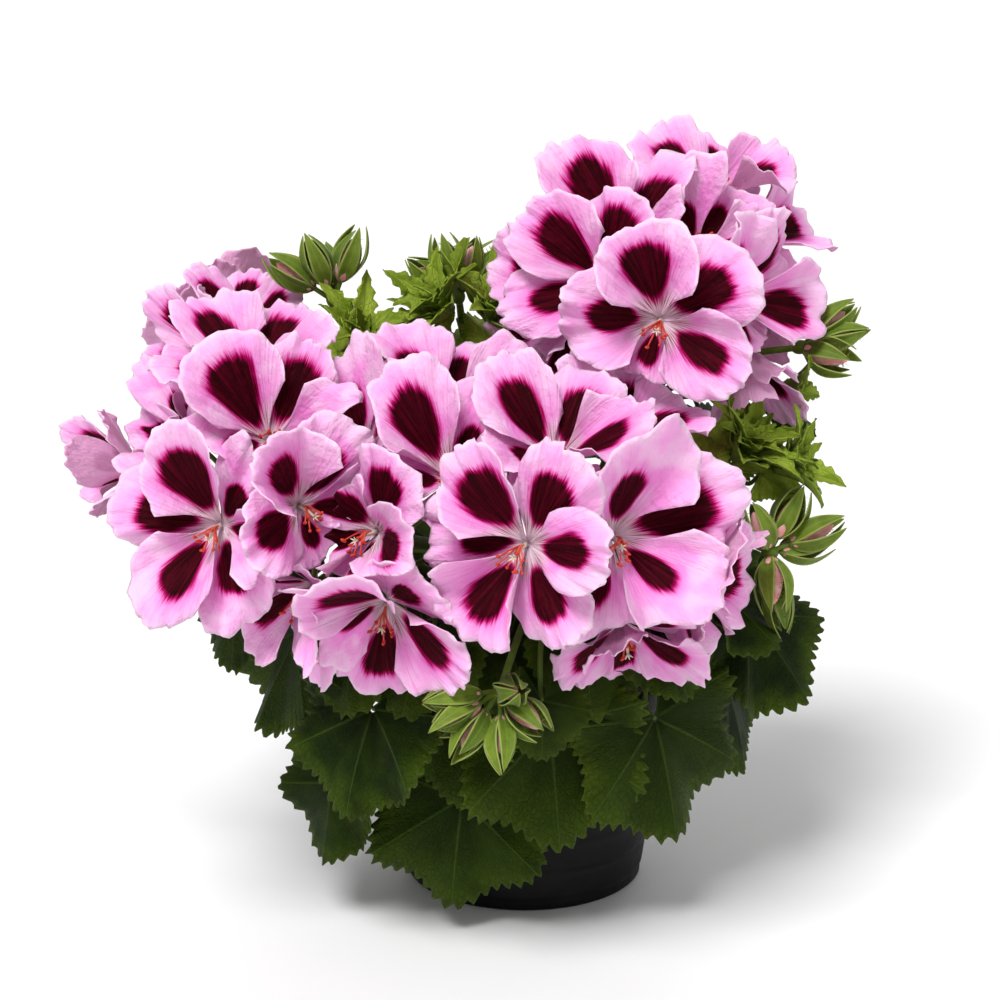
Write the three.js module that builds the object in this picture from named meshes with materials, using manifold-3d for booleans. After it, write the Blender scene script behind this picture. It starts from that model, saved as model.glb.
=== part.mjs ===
// A potted flowering pelargonium: nursery pot, compost, woody crown, leafy shoots and blooms.
// Millimetres, +Z up. The origin is the centre of the pot's flat base. The front is -Y.
// An azimuth of 0 points to the front (-Y), 90 to +X and 180 to the back, in degrees.

import * as THREE from 'three';
import { mergeVertices } from 'three/addons/utils/BufferGeometryUtils.js';
import Module from 'manifold-3d';

const wasm = await Module();
wasm.setup();

// Driving dimensions
const POT_HEIGHT = 105;
const POT_TOP_RADIUS = 60;
const POT_BASE_RADIUS = 43;
const POT_WALL = 1.6;
const POT_FLOOR = 2;
const POT_SIDES = 24;
const LIP_HEIGHT = 14;
const LIP_STEP = 2;
const DRAIN_HOLES = 6;
const DRAIN_RADIUS = 4;
const COMPOST_TOP = 93;
const CROWN_RADIUS = 9;
const CROWN_FOOT = 52;
const CROWN_TOP = 114;
const SEAT_GAP = 0.3;
const CLEARANCE = 0.4;

const PETAL_LENGTH = 37;
const PETAL_THICKNESS = 0.8;
const HEART_RADIUS = 2.6;
const STAMEN_HEIGHT = 7;
const PEDICEL_RADIUS = 0.9;
const CALYX_RADIUS = 2.3;

const LEAF_THICKNESS = 0.75;
const PETIOLE_RADIUS = 1.1;
const BUD_RADIUS = 3.2;
const BUD_LENGTH = 17;
const BUD_BELLY = 0.45;
const KNOB_RADIUS = 3.2;

const COLOURS = {
  pot: 0x17181a,
  compost: 0x2b211a,
  bark: 0x6b5a3c,
  foliage: 0x2f5a20,
  petal: 0xe59ad6,
};

// Vectors and repeatable chance

const V = (x, y, z) => new THREE.Vector3(x, y, z);
const rad = THREE.MathUtils.degToRad;
const clamp = THREE.MathUtils.clamp;
const mix = THREE.MathUtils.lerp;

// A repeatable draw between 0 and 1 for each whole number
function chance(number) {
  const wave = Math.sin(number * 12.9898 + 4.1414) * 43758.5453;
  return wave - Math.floor(wave);
}

const swing = (number) => 2 * chance(number) - 1;

// A right-handed frame of side, up and out for something that faces a direction
function facing(azimuth, elevation, roll = 0) {
  const a = rad(azimuth);
  const e = rad(elevation);
  const r = rad(roll);
  const out = V(Math.sin(a) * Math.cos(e), -Math.cos(a) * Math.cos(e), Math.sin(e));
  const level = V(Math.cos(a), Math.sin(a), 0);
  const above = out.clone().cross(level);
  const side = level.clone().multiplyScalar(Math.cos(r)).addScaledVector(above, Math.sin(r));
  const up = above.clone().multiplyScalar(Math.cos(r)).addScaledVector(level, -Math.sin(r));
  return { side, up, out };
}

// Solids

function geometryFrom(points, faces) {
  const geometry = new THREE.BufferGeometry();
  const position = new Float32Array(points.flatMap((p) => [p.x, p.y, p.z]));
  geometry.setAttribute('position', new THREE.BufferAttribute(position, 3));
  geometry.setIndex(faces.flat());
  return geometry;
}

function toSolid(geometry) {
  const bare = geometry.clone();
  bare.deleteAttribute('normal');
  bare.deleteAttribute('uv');
  const merged = mergeVertices(bare, 1e-4);
  return new wasm.Manifold(new wasm.Mesh({
    numProp: 3,
    vertProperties: new Float32Array(merged.attributes.position.array),
    triVerts: new Uint32Array(merged.index.array),
  }));
}

function toGeometry(solid) {
  const mesh = solid.getMesh();
  const geometry = new THREE.BufferGeometry();
  geometry.setAttribute('position', new THREE.BufferAttribute(new Float32Array(mesh.vertProperties), 3));
  geometry.setIndex(new THREE.BufferAttribute(new Uint32Array(mesh.triVerts), 1));
  geometry.computeVertexNormals();
  return geometry;
}

// Turns a thin open surface into a closed blade, split into triangles alike on both faces
function thicken(points, faces, thickness) {
  const normals = points.map(() => V(0, 0, 0));
  for (const [a, b, c] of faces) {
    const normal = points[b].clone().sub(points[a]).cross(points[c].clone().sub(points[a]));
    for (const corner of [a, b, c]) normals[corner].add(normal);
  }
  normals.forEach((normal) => normal.normalize());
  const count = points.length;
  const front = points.map((p, i) => p.clone().addScaledVector(normals[i], thickness / 2));
  const back = points.map((p, i) => p.clone().addScaledVector(normals[i], -thickness / 2));
  const edges = new Set();
  for (const [a, b, c] of faces) {
    for (const [from, to] of [[a, b], [b, c], [c, a]]) edges.add(`${from},${to}`);
  }
  const shell = [];
  for (const [a, b, c] of faces) {
    shell.push([a, b, c]);
    shell.push([a + count, c + count, b + count]);
  }
  for (const edge of edges) {
    const [from, to] = edge.split(',').map(Number);
    if (edges.has(`${to},${from}`)) continue;
    shell.push([to, from, from + count]);
    shell.push([to, from + count, to + count]);
  }
  return { points: [...front, ...back], faces: shell };
}

// A round rod along a smooth curve; stops holds [place along the curve, radius] pairs
function rod(curve, stops, sides, grow = 0) {
  const points = [];
  const faces = [];
  const steps = stops.length - 1;
  let across = V(0, 0, 0);
  stops.forEach(([place, radius], row) => {
    const centre = curve.getPoint(place);
    const along = curve.getTangent(place).normalize();
    if (row === 0) across = Math.abs(along.z) < 0.8 ? V(0, 0, 1) : V(1, 0, 0);
    across = across.clone().addScaledVector(along, -across.dot(along)).normalize();
    const other = along.clone().cross(across);
    if (row === 0) centre.addScaledVector(along, -grow);
    if (row === steps) centre.addScaledVector(along, grow);
    for (let i = 0; i < sides; i += 1) {
      const turn = (2 * Math.PI * i) / sides;
      points.push(centre.clone()
        .addScaledVector(across, (radius + grow) * Math.cos(turn))
        .addScaledVector(other, (radius + grow) * Math.sin(turn)));
    }
  });
  for (let row = 0; row < steps; row += 1) {
    for (let i = 0; i < sides; i += 1) {
      const a = row * sides + i;
      const b = row * sides + ((i + 1) % sides);
      faces.push([a, b, b + sides]);
      faces.push([a, b + sides, a + sides]);
    }
  }
  const last = steps * sides;
  for (let i = 1; i < sides - 1; i += 1) {
    faces.push([0, i + 1, i]);
    faces.push([last, last + i, last + i + 1]);
  }
  return toSolid(geometryFrom(points, faces));
}

const bend = (...points) => new THREE.CatmullRomCurve3(points, false, 'centripetal');

// A row of evenly spaced stops between two radii
function taper(from, to, steps) {
  return Array.from({ length: steps + 1 }, (_, i) => [i / steps, mix(from, to, i / steps)]);
}

// The pot, its compost and the plant's woody crown

function lathe(profile, sides = POT_SIDES) {
  const geometry = new THREE.LatheGeometry(profile.map(([r, z]) => new THREE.Vector2(r, z)), sides);
  geometry.rotateX(Math.PI / 2);
  return toSolid(geometry);
}

const potRadius = (z) => mix(POT_BASE_RADIUS, POT_TOP_RADIUS, z / POT_HEIGHT);

function makePot() {
  const lipFoot = POT_HEIGHT - LIP_HEIGHT;
  const shell = lathe([
    [0, 0],
    [POT_BASE_RADIUS, 0],
    [potRadius(lipFoot) - LIP_STEP / 2, lipFoot],
    [potRadius(lipFoot) + LIP_STEP / 2, lipFoot + LIP_STEP / 2],
    [POT_TOP_RADIUS + LIP_STEP, POT_HEIGHT],
    [POT_TOP_RADIUS - POT_WALL, POT_HEIGHT],
    [POT_BASE_RADIUS - POT_WALL, POT_FLOOR],
    [0, POT_FLOOR],
  ]);
  const holes = [];
  for (let i = 0; i < DRAIN_HOLES; i += 1) {
    const hole = new THREE.CylinderGeometry(DRAIN_RADIUS, DRAIN_RADIUS, 4 * POT_FLOOR, 6);
    hole.rotateX(Math.PI / 2);
    const turn = (2 * Math.PI * (i + 0.5)) / DRAIN_HOLES;
    const reach = POT_BASE_RADIUS - 3 * DRAIN_RADIUS;
    hole.translate(reach * Math.cos(turn), reach * Math.sin(turn), 0);
    holes.push(toSolid(hole));
  }
  return shell.subtract(wasm.Manifold.union(holes));
}

// The space that the pot and its compost take, with room to spare round them
function makePotRoom() {
  const reach = POT_TOP_RADIUS + LIP_STEP + CLEARANCE;
  return lathe([
    [0, -CLEARANCE],
    [POT_BASE_RADIUS + CLEARANCE, -CLEARANCE],
    [reach, POT_HEIGHT - LIP_HEIGHT],
    [reach, POT_HEIGHT + CLEARANCE],
    [0, COMPOST_TOP + 2],
  ]);
}

function crownSolid(grow = 0) {
  return rod(
    bend(V(0, 0, CROWN_FOOT), V(1, -1, COMPOST_TOP), V(-1, 1, CROWN_TOP)),
    [[0, 5], [0.45, CROWN_RADIUS - 1.5], [0.72, CROWN_RADIUS], [0.9, CROWN_RADIUS], [1, 5.5]],
    9,
    grow,
  );
}

function makeCompost() {
  const floor = POT_FLOOR + SEAT_GAP;
  const inner = (z) => mix(
    POT_BASE_RADIUS - POT_WALL,
    POT_TOP_RADIUS - POT_WALL,
    (z - POT_FLOOR) / (POT_HEIGHT - POT_FLOOR),
  ) - 2 * SEAT_GAP;
  const fill = lathe([
    [0, floor],
    [inner(floor), floor],
    [inner(COMPOST_TOP - 2), COMPOST_TOP - 2],
    [0, COMPOST_TOP + 1.5],
  ], 12);
  return fill.subtract(crownSolid(SEAT_GAP));
}

// Blooms
// Petals go round the heart from the upper left, clockwise as the bloom's face is seen.

const PETAL_TURNS = {
  5: [124, 56, -14, -90, -166],
  6: [122, 62, 2, -60, -118, 178],
};
const PETAL_RISE = {
  5: [30, 17, 27, 11, 21],
  6: [29, 16, 26, 12, 24, 14],
};

// Each row: name, centre x y z, azimuth, elevation, roll, size, how far closed, petals
const BLOOMS = [
  ['tall_front', 45, -46, 216, -4, 6, -20, 0.96, 0, 5],
  ['tall_left', 16, -16, 213, -60, 10, 12, 0.9, 6, 5],
  ['tall_upper_front', 34, -12, 236, -14, 46, 4, 1, 6, 5],
  ['tall_upper_right', 60, -8, 234, 14, 46, -10, 0.88, 8, 5],
  ['tall_top', 65, 18, 248, 10, 66, 10, 0.84, 4, 5],
  ['tall_upper_left', 26, 4, 229, -48, 44, -8, 0.82, 8, 5],
  ['tall_right', 76, 12, 232, 62, 38, 8, 0.92, 6, 5],
  ['tall_front_right', 71, -22, 219, 46, 6, -4, 0.92, 4, 5],
  ['tall_side', 80, 22, 210, 100, -14, 20, 0.66, 14, 5],
  ['tall_drooping', 73, -14, 200, 35, -56, 15, 0.5, 36, 5],
  ['tall_inner_left', 27, -31, 226, -34, 22, 18, 0.88, 8, 5],
  ['tall_back_right', 62, 44, 224, 150, 30, 6, 0.86, 6, 5],
  ['tall_back_left', 36, 46, 226, -160, 32, -6, 0.9, 6, 5],
  ['right_front', -1, -118, 158, -24, 6, 0, 0.98, 0, 6],
  ['right_main', 28, -98, 155, 24, 8, -36, 1.2, 2, 5],
  ['right_side', 52, -73, 133, 70, -10, 10, 0.92, 8, 5],
  ['right_lower', 32, -88, 121, 14, -44, 6, 0.7, 12, 5],
  ['right_upper', 9, -88, 179, -6, 56, 10, 0.88, 8, 5],
  ['right_top', 29, -60, 178, 42, 62, -6, 0.84, 6, 5],
  ['middle_upper', -25, -87, 172, -4, 44, 6, 0.95, 8, 5],
  ['middle_top', -54, -67, 178, -26, 54, 0, 0.9, 8, 5],
  ['middle_front', -50, -96, 156, -40, 12, 8, 0.86, 8, 5],
  ['middle_lower', -46, -98, 132, -10, -24, -6, 0.9, 12, 5],
  ['middle_left', -72, -86, 134, -44, -18, 10, 0.86, 12, 5],
  ['middle_back', -27, -50, 185, 12, 70, 6, 0.88, 8, 5],
  ['left_front', -101, -88, 156, -14, 6, -8, 1, 0, 6],
  ['left_upper', -85, -72, 181, 6, 38, 6, 0.95, 6, 5],
  ['left_top', -94, -46, 196, -10, 66, 12, 0.86, 8, 5],
  ['left_side', -116, -46, 174, -64, 34, -6, 0.8, 10, 5],
  ['left_outer', -135, -28, 160, -84, 10, 30, 0.52, 30, 5],
  ['left_inner', -74, -90, 163, 30, 10, 6, 0.85, 12, 5],
  ['far_upper', -102, 8, 204, 6, 64, 20, 0.62, 8, 5],
  ['far_front', -110, -6, 195, -58, 14, 8, 0.7, 12, 5],
  ['far_back', -108, 34, 196, -145, 30, 4, 0.76, 8, 5],
];

const HUBS = {
  tall: V(50, 12, 200),
  right: V(16, -60, 144),
  middle: V(-44, -54, 142),
  left: V(-98, -42, 156),
  far: V(-108, 18, 184),
};

const DEPTH_OF_CUP = 7;
const TILT_OF_DIVIDE = 0.9;
const LIFT_FOR_FULL_TILT = 9;
const NEIGHBOUR_REACH = 90;
const STALK_MARGIN = 2.6;

function readBloom([name, x, y, z, azimuth, elevation, roll, size, closed, petals], index) {
  const frame = facing(azimuth, elevation, roll);
  const centre = V(x, y, z);
  return {
    name,
    index,
    frame,
    centre,
    size,
    hub: HUBS[name.split('_')[0]],
    cup: centre.clone().addScaledVector(frame.out, DEPTH_OF_CUP),
    turns: PETAL_TURNS[petals],
    rises: PETAL_RISE[petals].map((rise) => rise + closed),
    length: PETAL_LENGTH * size,
  };
}

// The plane between two neighbouring blooms, tilted so that the outer one lies over the inner one
function divide(bloom, other) {
  const across = other.cup.clone().sub(bloom.cup);
  const shared = bloom.frame.out.clone().add(other.frame.out).normalize();
  const tilt = clamp(across.dot(shared) / LIFT_FOR_FULL_TILT, -1, 1) * TILT_OF_DIVIDE;
  const point = bloom.cup.clone().addScaledVector(across, bloom.size / (bloom.size + other.size));
  const normal = across.clone().normalize().addScaledVector(shared, tilt).normalize();
  return { point, normal, margin: (PETAL_THICKNESS + CLEARANCE) / 2 };
}

// Whether a point is clear of another bloom's stalk
function clearOfStalk(point, other) {
  const stalk = new THREE.Line3(other.hub, other.centre);
  const nearest = stalk.closestPointToPoint(point, true, V(0, 0, 0));
  return nearest.distanceTo(point) > STALK_MARGIN;
}

// A test for points that lie in a bloom's own room among its neighbours
function roomFor(bloom, blooms) {
  const others = blooms.filter((other) =>
    other !== bloom && other.cup.distanceTo(bloom.cup) < NEIGHBOUR_REACH);
  const walls = others.map((other) => divide(bloom, other));
  return (point) => others.every((other) => clearOfStalk(point, other))
    && walls.every((wall) => point.clone().sub(wall.point).dot(wall.normal) < -wall.margin);
}

// Angles in degrees; the other values are shares of the petal's length
const CLAW_HALF_WIDTH = 25;
const BLADE_HALF_WIDTH = 46;
const MIDDLE_OUTWARD = 0.42;
const FLANK_FALL = 0.34;
const FLANK_POWER = 2.4;
const EDGE_UNEVEN = 0.05;
const OVERLAP_LIFT = 0.07;
const FACE_WAVES = 5;
const WAVE_DEPTH = 0.03;
const EDGE_DROOP = 0.1;
const SMALLEST_PETAL = 0.25;
const SHRINK_STEP = 0.03;

// Room is looked for in this many directions, down to the least radius, with petals that curl
const DIRECTIONS = 36;
const LEAST_ROOM = 9;
const CURLS = [0.3, 0.12, 0];

function bloomPoint(bloom, radius, angle, height) {
  const { side, up, out } = bloom.frame;
  return bloom.centre.clone()
    .addScaledVector(side, radius * Math.cos(rad(angle)))
    .addScaledVector(up, radius * Math.sin(rad(angle)))
    .addScaledVector(out, height);
}

// The height above the heart that every petal of a bloom shares at a radius and angle
function sharedHeight(bloom, radius, angle, { room, curl }) {
  const outward = radius / bloom.length;
  const wave = Math.sin(rad(FACE_WAVES * angle) + 2 * Math.PI * chance(bloom.index + 400));
  return curl * (bloom.length - room) * Math.min(radius / room, 1) ** 2
    + WAVE_DEPTH * bloom.length * wave * outward ** 2
    - EDGE_DROOP * bloom.length * outward ** 3;
}

// The free radius round a bloom in each direction, and how much its petals curl up there
function roomsRound(bloom) {
  const rises = [Math.min(...bloom.rises), Math.max(...bloom.rises)];
  return Array.from({ length: DIRECTIONS }, (_, i) => {
    const angle = (360 * i) / DIRECTIONS;
    const options = CURLS.map((curl) => {
      for (let room = bloom.length; room > LEAST_ROOM; room -= 1) {
        const clear = rises.every((rise) => [0.5, 0.8, 1].every((part) => {
          const radius = part * room;
          const height = radius * Math.tan(rad(rise))
            + sharedHeight(bloom, radius, angle, { room, curl });
          return bloom.fits(bloomPoint(bloom, radius, angle, height));
        }));
        if (clear) return { room, curl };
      }
      return { room: LEAST_ROOM, curl };
    });
    return options.reduce((best, next) => (next.room > best.room + 1 ? next : best));
  });
}

function roomAt(bloom, angle) {
  const place = ((((angle % 360) + 360) % 360) * DIRECTIONS) / 360;
  const from = bloom.rooms[Math.floor(place) % DIRECTIONS];
  const to = bloom.rooms[(Math.floor(place) + 1) % DIRECTIONS];
  const part = place - Math.floor(place);
  return { room: mix(from.room, to.room, part), curl: mix(from.curl, to.curl, part) };
}

// A point of a petal: across runs from -1 to 1, outward from 0 at the heart to 1 at the edge
function petalPoint(bloom, petal, across, outward, shrink = 1) {
  const count = bloom.turns.length;
  const halfWidth = mix(CLAW_HALF_WIDTH, BLADE_HALF_WIDTH, outward) * (5 / count);
  const angle = bloom.turns[petal] + halfWidth * across;
  const seed = bloom.index * 17 + petal * 5;
  const outline = 1 - FLANK_FALL * Math.abs(across) ** FLANK_POWER
    + EDGE_UNEVEN * swing(seed + 3 * across);
  const radius = mix(HEART_RADIUS, bloom.length * outline * shrink, outward);
  const beside = bloom.rises[(petal + (across > 0 ? count - 1 : 1)) % count];
  const overlap = Math.sign(bloom.rises[petal] - beside) * Math.abs(across) ** 2;
  const height = (radius - HEART_RADIUS) * Math.tan(rad(bloom.rises[petal]))
    + sharedHeight(bloom, radius, angle, roomAt(bloom, angle)) * outward ** 0.5
    + OVERLAP_LIFT * radius * overlap * outward;
  return bloomPoint(bloom, radius, angle, height);
}

// The part of its length that a petal keeps so that its edge stays in the bloom's own room
function petalShrink(bloom, petal, across) {
  const tested = [MIDDLE_OUTWARD, 0.7, 1];
  for (let shrink = 1; shrink > SMALLEST_PETAL; shrink -= SHRINK_STEP) {
    if (tested.every((outward) => bloom.fits(petalPoint(bloom, petal, across, outward, shrink)))) {
      return shrink;
    }
  }
  return SMALLEST_PETAL;
}

const MIDDLE_ROW = [-1, 0, 1];
const EDGE_ROW = [-1, -0.52, 0, 0.52, 1];

function bloomSolid(bloom, grow = 0) {
  const { centre, frame, turns } = bloom;
  const count = turns.length;
  const points = [centre.clone()];
  const faces = [];
  const claws = turns.map((turn, petal) => [1, -1].map((across) =>
    points.push(petalPoint(bloom, petal, across, 0)) - 1));
  claws.forEach(([left, right], petal) => {
    faces.push([0, right, left]);
    faces.push([0, claws[(petal + 1) % count][0], right]);
  });
  turns.forEach((turn, petal) => {
    const shrinks = EDGE_ROW.map((across) => petalShrink(bloom, petal, across));
    const middle = MIDDLE_ROW.map((across, i) =>
      points.push(petalPoint(bloom, petal, across, MIDDLE_OUTWARD, shrinks[2 * i])) - 1);
    const edge = EDGE_ROW.map((across, i) =>
      points.push(petalPoint(bloom, petal, across, 1 + grow / bloom.length, shrinks[i])) - 1);
    const [left, right] = claws[petal];
    faces.push([right, middle[0], middle[1]], [right, middle[1], left], [left, middle[1], middle[2]]);
    faces.push([middle[0], edge[0], edge[1]], [middle[0], edge[1], middle[1]]);
    faces.push([middle[1], edge[1], edge[2]], [middle[1], edge[2], edge[3]]);
    faces.push([middle[1], edge[3], middle[2]], [middle[2], edge[3], edge[4]]);
  });
  const shell = thicken(points, faces, PETAL_THICKNESS + 2 * grow);
  shell.points[0].addScaledVector(frame.out, STAMEN_HEIGHT);
  return toSolid(geometryFrom(shell.points, shell.faces));
}

// Leafy shoots

const STALK_NECK = 9;
const LEAF_SPREAD = 152;
const LEAF_STYLES = {
  large: { lobes: 7, edge: 27, middle: 8 },
  small: { lobes: 5, edge: 17, middle: 4 },
};
const SINUS_HALF_WIDTH = 0.9;

// Shares of a leaf's reach
const MIDDLE_RING = 0.5;
const ROUNDNESS = 0.2;
const LOBE_DEPTH = 0.06;
const TOOTH_DEPTH = 0.05;
const LOBE_WAVE = 0.05;
const TIP_DROOP = 0.2;
const TWIST = 0.12;
const CUPPING = 0.1;

// A leaf's stalk climbs from the stem, over the pot's rim where it has to, and down to the blade
function petioleRoute({ from, joint, frame }) {
  const arrive = joint.clone().addScaledVector(frame.up, -4).addScaledVector(frame.out, -4);
  const rise = from.clone().lerp(arrive, 0.5);
  const crest = POT_HEIGHT + 8;
  if (arrive.z > crest) {
    rise.z = (Math.max(from.z, arrive.z) + rise.z) / 2 + 3;
    return [from, rise, arrive, joint];
  }
  const reach = Math.max(Math.hypot(arrive.x, arrive.y), POT_TOP_RADIUS + 7);
  const shoulder = V(arrive.x, arrive.y, 0).setLength(reach).setZ(crest);
  rise.z = crest + 6;
  return [from, rise, shoulder, arrive, joint];
}

// A lobed, toothed leaf on its stalk, as one skin; the blade's tip points along the frame's up
// and its upper face looks along the frame's out
function leafSolid(leaf, grow = 0) {
  const { joint, frame, reach, style, seed } = leaf;
  const { lobes, edge, middle } = LEAF_STYLES[style];
  const lobeWave = (turn) => Math.cos(rad((turn * 180 * (lobes - 1)) / LEAF_SPREAD));
  const turnAt = (i, count) => -LEAF_SPREAD + (2 * LEAF_SPREAD * i) / (count - 1);
  const points = [];
  const faces = [];
  const place = (turn, radius) => {
    const angle = rad(turn);
    const height = reach * (radius / reach) ** 2 * (
      LOBE_WAVE * lobeWave(turn)
      - TIP_DROOP * Math.cos(angle) ** 2
      + TWIST * swing(seed) * Math.sin(2 * angle)
      + CUPPING * swing(seed + 1));
    return points.push(joint.clone()
      .addScaledVector(frame.side, radius * Math.sin(angle))
      .addScaledVector(frame.up, radius * Math.cos(angle))
      .addScaledVector(frame.out, height)) - 1;
  };
  const roundness = (turn) => 1 - ROUNDNESS + ROUNDNESS * Math.cos(rad(turn));
  const left = place(-90, SINUS_HALF_WIDTH + grow);
  const right = place(90, SINUS_HALF_WIDTH + grow);
  const ring = Array.from({ length: middle }, (_, i) =>
    place(turnAt(i, middle), MIDDLE_RING * reach * roundness(turnAt(i, middle))));
  const rim = Array.from({ length: edge }, (_, i) => {
    const turn = turnAt(i, edge);
    const tooth = i % 2 === 0 ? TOOTH_DEPTH : -TOOTH_DEPTH;
    return place(turn, reach * (roundness(turn) + LOBE_DEPTH * lobeWave(turn) + tooth) + grow);
  });
  for (let i = 0; i < middle - 1; i += 1) {
    const centre = i < (middle - 1) / 2 ? left : right;
    faces.push([centre, ring[i + 1], ring[i]]);
  }
  faces.push([left, right, ring[Math.ceil((middle - 1) / 2)]]);
  for (let i = 0; i < edge - 1; i += 1) {
    const from = Math.round((i * (middle - 1)) / (edge - 1));
    const to = Math.round(((i + 1) * (middle - 1)) / (edge - 1));
    faces.push([ring[from], rim[i + 1], rim[i]]);
    if (to > from) faces.push([ring[from], ring[to], rim[i + 1]]);
  }
  const shell = thicken(points, faces, LEAF_THICKNESS + 2 * grow);
  const below = points.length;
  const mouth = [left, right, right + below, left + below];
  const skin = shell.faces.filter((face) => !face.every((corner) => mouth.includes(corner)));
  addPetiole(shell.points, skin, mouth, leaf, grow);
  return toSolid(geometryFrom(shell.points, skin));
}

// Runs a four-sided stalk back from the open mouth in a leaf's base to the stem
function addPetiole(points, faces, mouth, leaf, grow) {
  const route = petioleRoute(leaf);
  const half = 0.8 * PETIOLE_RADIUS + grow;
  let across = leaf.frame.side.clone();
  let ring = mouth;
  for (let stop = route.length - 2; stop >= 0; stop -= 1) {
    const back = route[Math.max(stop - 1, 0)].clone().sub(route[stop + 1]).normalize();
    across = across.clone().addScaledVector(back, -across.dot(back)).normalize();
    const out = back.clone().cross(across);
    const next = [[-1, 1], [1, 1], [1, -1], [-1, -1]].map(([x, y]) => points.push(
      route[stop].clone().addScaledVector(across, half * x).addScaledVector(out, half * y)) - 1);
    for (let i = 0; i < 4; i += 1) {
      const j = (i + 1) % 4;
      faces.push([ring[j], ring[i], next[i]], [ring[j], next[i], next[j]]);
    }
    ring = next;
  }
  faces.push([ring[0], ring[2], ring[1]], [ring[0], ring[3], ring[2]]);
}

// A bloom's stalk, from the knob of its head to the flat seat behind the bloom's heart
function pedicelSolid(bloom, grow = 0) {
  const seat = bloom.centre.clone()
    .addScaledVector(bloom.frame.out, -PETAL_THICKNESS / 2 - SEAT_GAP - grow);
  const neck = seat.clone().addScaledVector(bloom.frame.out, -STALK_NECK);
  const start = bloom.hub.clone().addScaledVector(neck.clone().sub(bloom.hub).normalize(), 1.2);
  const stops = [[0, PEDICEL_RADIUS], [0.75, PEDICEL_RADIUS], [1, CALYX_RADIUS]];
  return rod(bend(start, neck, seat), stops, 3, grow);
}

// A stalked bud, plump in its outer half
function budSolid(from, tip, grow = 0) {
  const length = from.distanceTo(tip);
  const along = tip.clone().sub(from).normalize();
  const start = from.clone().addScaledVector(along, 1);
  const foot = 1 - BUD_LENGTH / length;
  const stops = [[0, 0.8], [foot, 1], [mix(foot, 1, BUD_BELLY), BUD_RADIUS], [1, 0.3]];
  return rod(new THREE.LineCurve3(start, tip), stops, 4, grow);
}

// The small knob that stalks spring from
function knobSolid(centre, grow = 0) {
  const ball = new THREE.IcosahedronGeometry(KNOB_RADIUS + grow, 0);
  ball.translate(centre.x, centre.y, centre.z);
  return toSolid(ball);
}

// Each shoot's stem, from the crown to its top
const STEMS = {
  tall: [[5, 2, 102], [34, 8, 136], [47, 14, 172], [50, 12, 200]],
  right: [[2, -5, 101], [10, -34, 124], [16, -60, 144]],
  middle: [[-1, -5, 109], [-24, -30, 130], [-44, -54, 142]],
  left: [[-5, -1, 100], [-46, -24, 126], [-98, -42, 156]],
  far: [[-5, 3, 104], [-44, 18, 132], [-108, 18, 184]],
  young: [[5, -2, 110], [42, -16, 132], [68, -22, 156]],
  top_left: [[-3, 0, 110], [-32, 4, 152], [-63, 6, 205]],
  top_middle: [[1, 4, 108], [-9, 20, 152], [-23, 20, 204]],
  back: [[2, 5, 101], [6, 34, 134], [4, 48, 168]],
};

// Each row: joint x y z, the blade's azimuth, pitch and roll, its reach, place along the stem, style
const LEAVES = {
  tall: [
    [72, 24, 166, 104, -14, 10, 22, 0.78, 'small'],
    [91, -1, 176, 60, -40, 40, 17, 0.7, 'small'],
    [62, 34, 166, 140, -20, 0, 26, 0.7, 'small'],
    [78, -27, 107, 42, -52, 24, 37, 0.12, 'large'],
    [72, -24, 78, 74, -68, 0, 30, 0.08, 'large'],
  ],
  right: [
    [44, -68, 82, 30, -74, 8, 41, 0.3, 'large'],
    [8, -78, 82, 4, -76, 4, 40, 0.35, 'large'],
    [70, -42, 118, 56, -46, 14, 24, 0.6, 'small'],
    [5, -93, 97, 6, -74, 0, 19, 0.45, 'small'],
  ],
  middle: [
    [-20, -68, 84, -8, -78, -4, 31, 0.3, 'large'],
    [-52, -76, 88, -30, -66, -8, 36, 0.4, 'large'],
    [-22, -66, 52, -6, -80, -6, 38, 0.1, 'large'],
  ],
  left: [
    [-80, -34, 102, -62, -62, -8, 37, 0.26, 'large'],
    [-96, -58, 126, -50, -58, 10, 27, 0.7, 'small'],
    [-68, -49, 51, -46, -78, 0, 27, 0.15, 'small'],
  ],
  far: [
    [-72, 10, 100, -100, -56, 0, 34, 0.2, 'large'],
    [-60, 40, 102, -128, -56, 0, 34, 0.25, 'large'],
    [-84, 30, 160, -120, 0, 0, 26, 0.6, 'small'],
  ],
  young: [
    [57, -31, 161, -10, -50, -170, 16, 0.75, 'small'],
    [72, -20, 164, 10, -54, 160, 18, 0.85, 'small'],
    [82, -27, 158, 24, -40, 108, 17, 0.95, 'small'],
    [68, -2, 156, 150, -10, 0, 20, 0.9, 'small'],
  ],
  top_left: [
    [-54, -4, 190, 0, -45, 125, 24, 0.55, 'small'],
    [-72, 18, 192, -120, 5, 0, 20, 0.85, 'small'],
    [-66, -3, 196, -20, -30, -60, 18, 0.9, 'small'],
  ],
  top_middle: [
    [-22, 4, 186, 0, -48, -125, 25, 0.6, 'small'],
    [-7, 10, 194, 20, -40, 140, 22, 0.6, 'small'],
    [-22, 38, 190, -160, 10, 0, 22, 0.8, 'small'],
  ],
  back: [
    [38, 60, 102, 146, -58, 0, 36, 0.15, 'large'],
    [2, 70, 100, 180, -58, 0, 36, 0.1, 'large'],
    [-28, 67, 106, -165, -54, 0, 34, 0.2, 'large'],
    [54, 40, 128, 120, -24, 0, 31, 0.4, 'large'],
    [-20, 52, 146, -120, -14, 0, 28, 0.7, 'large'],
    [22, 58, 146, 160, -12, 0, 28, 0.75, 'large'],
  ],
};

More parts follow.
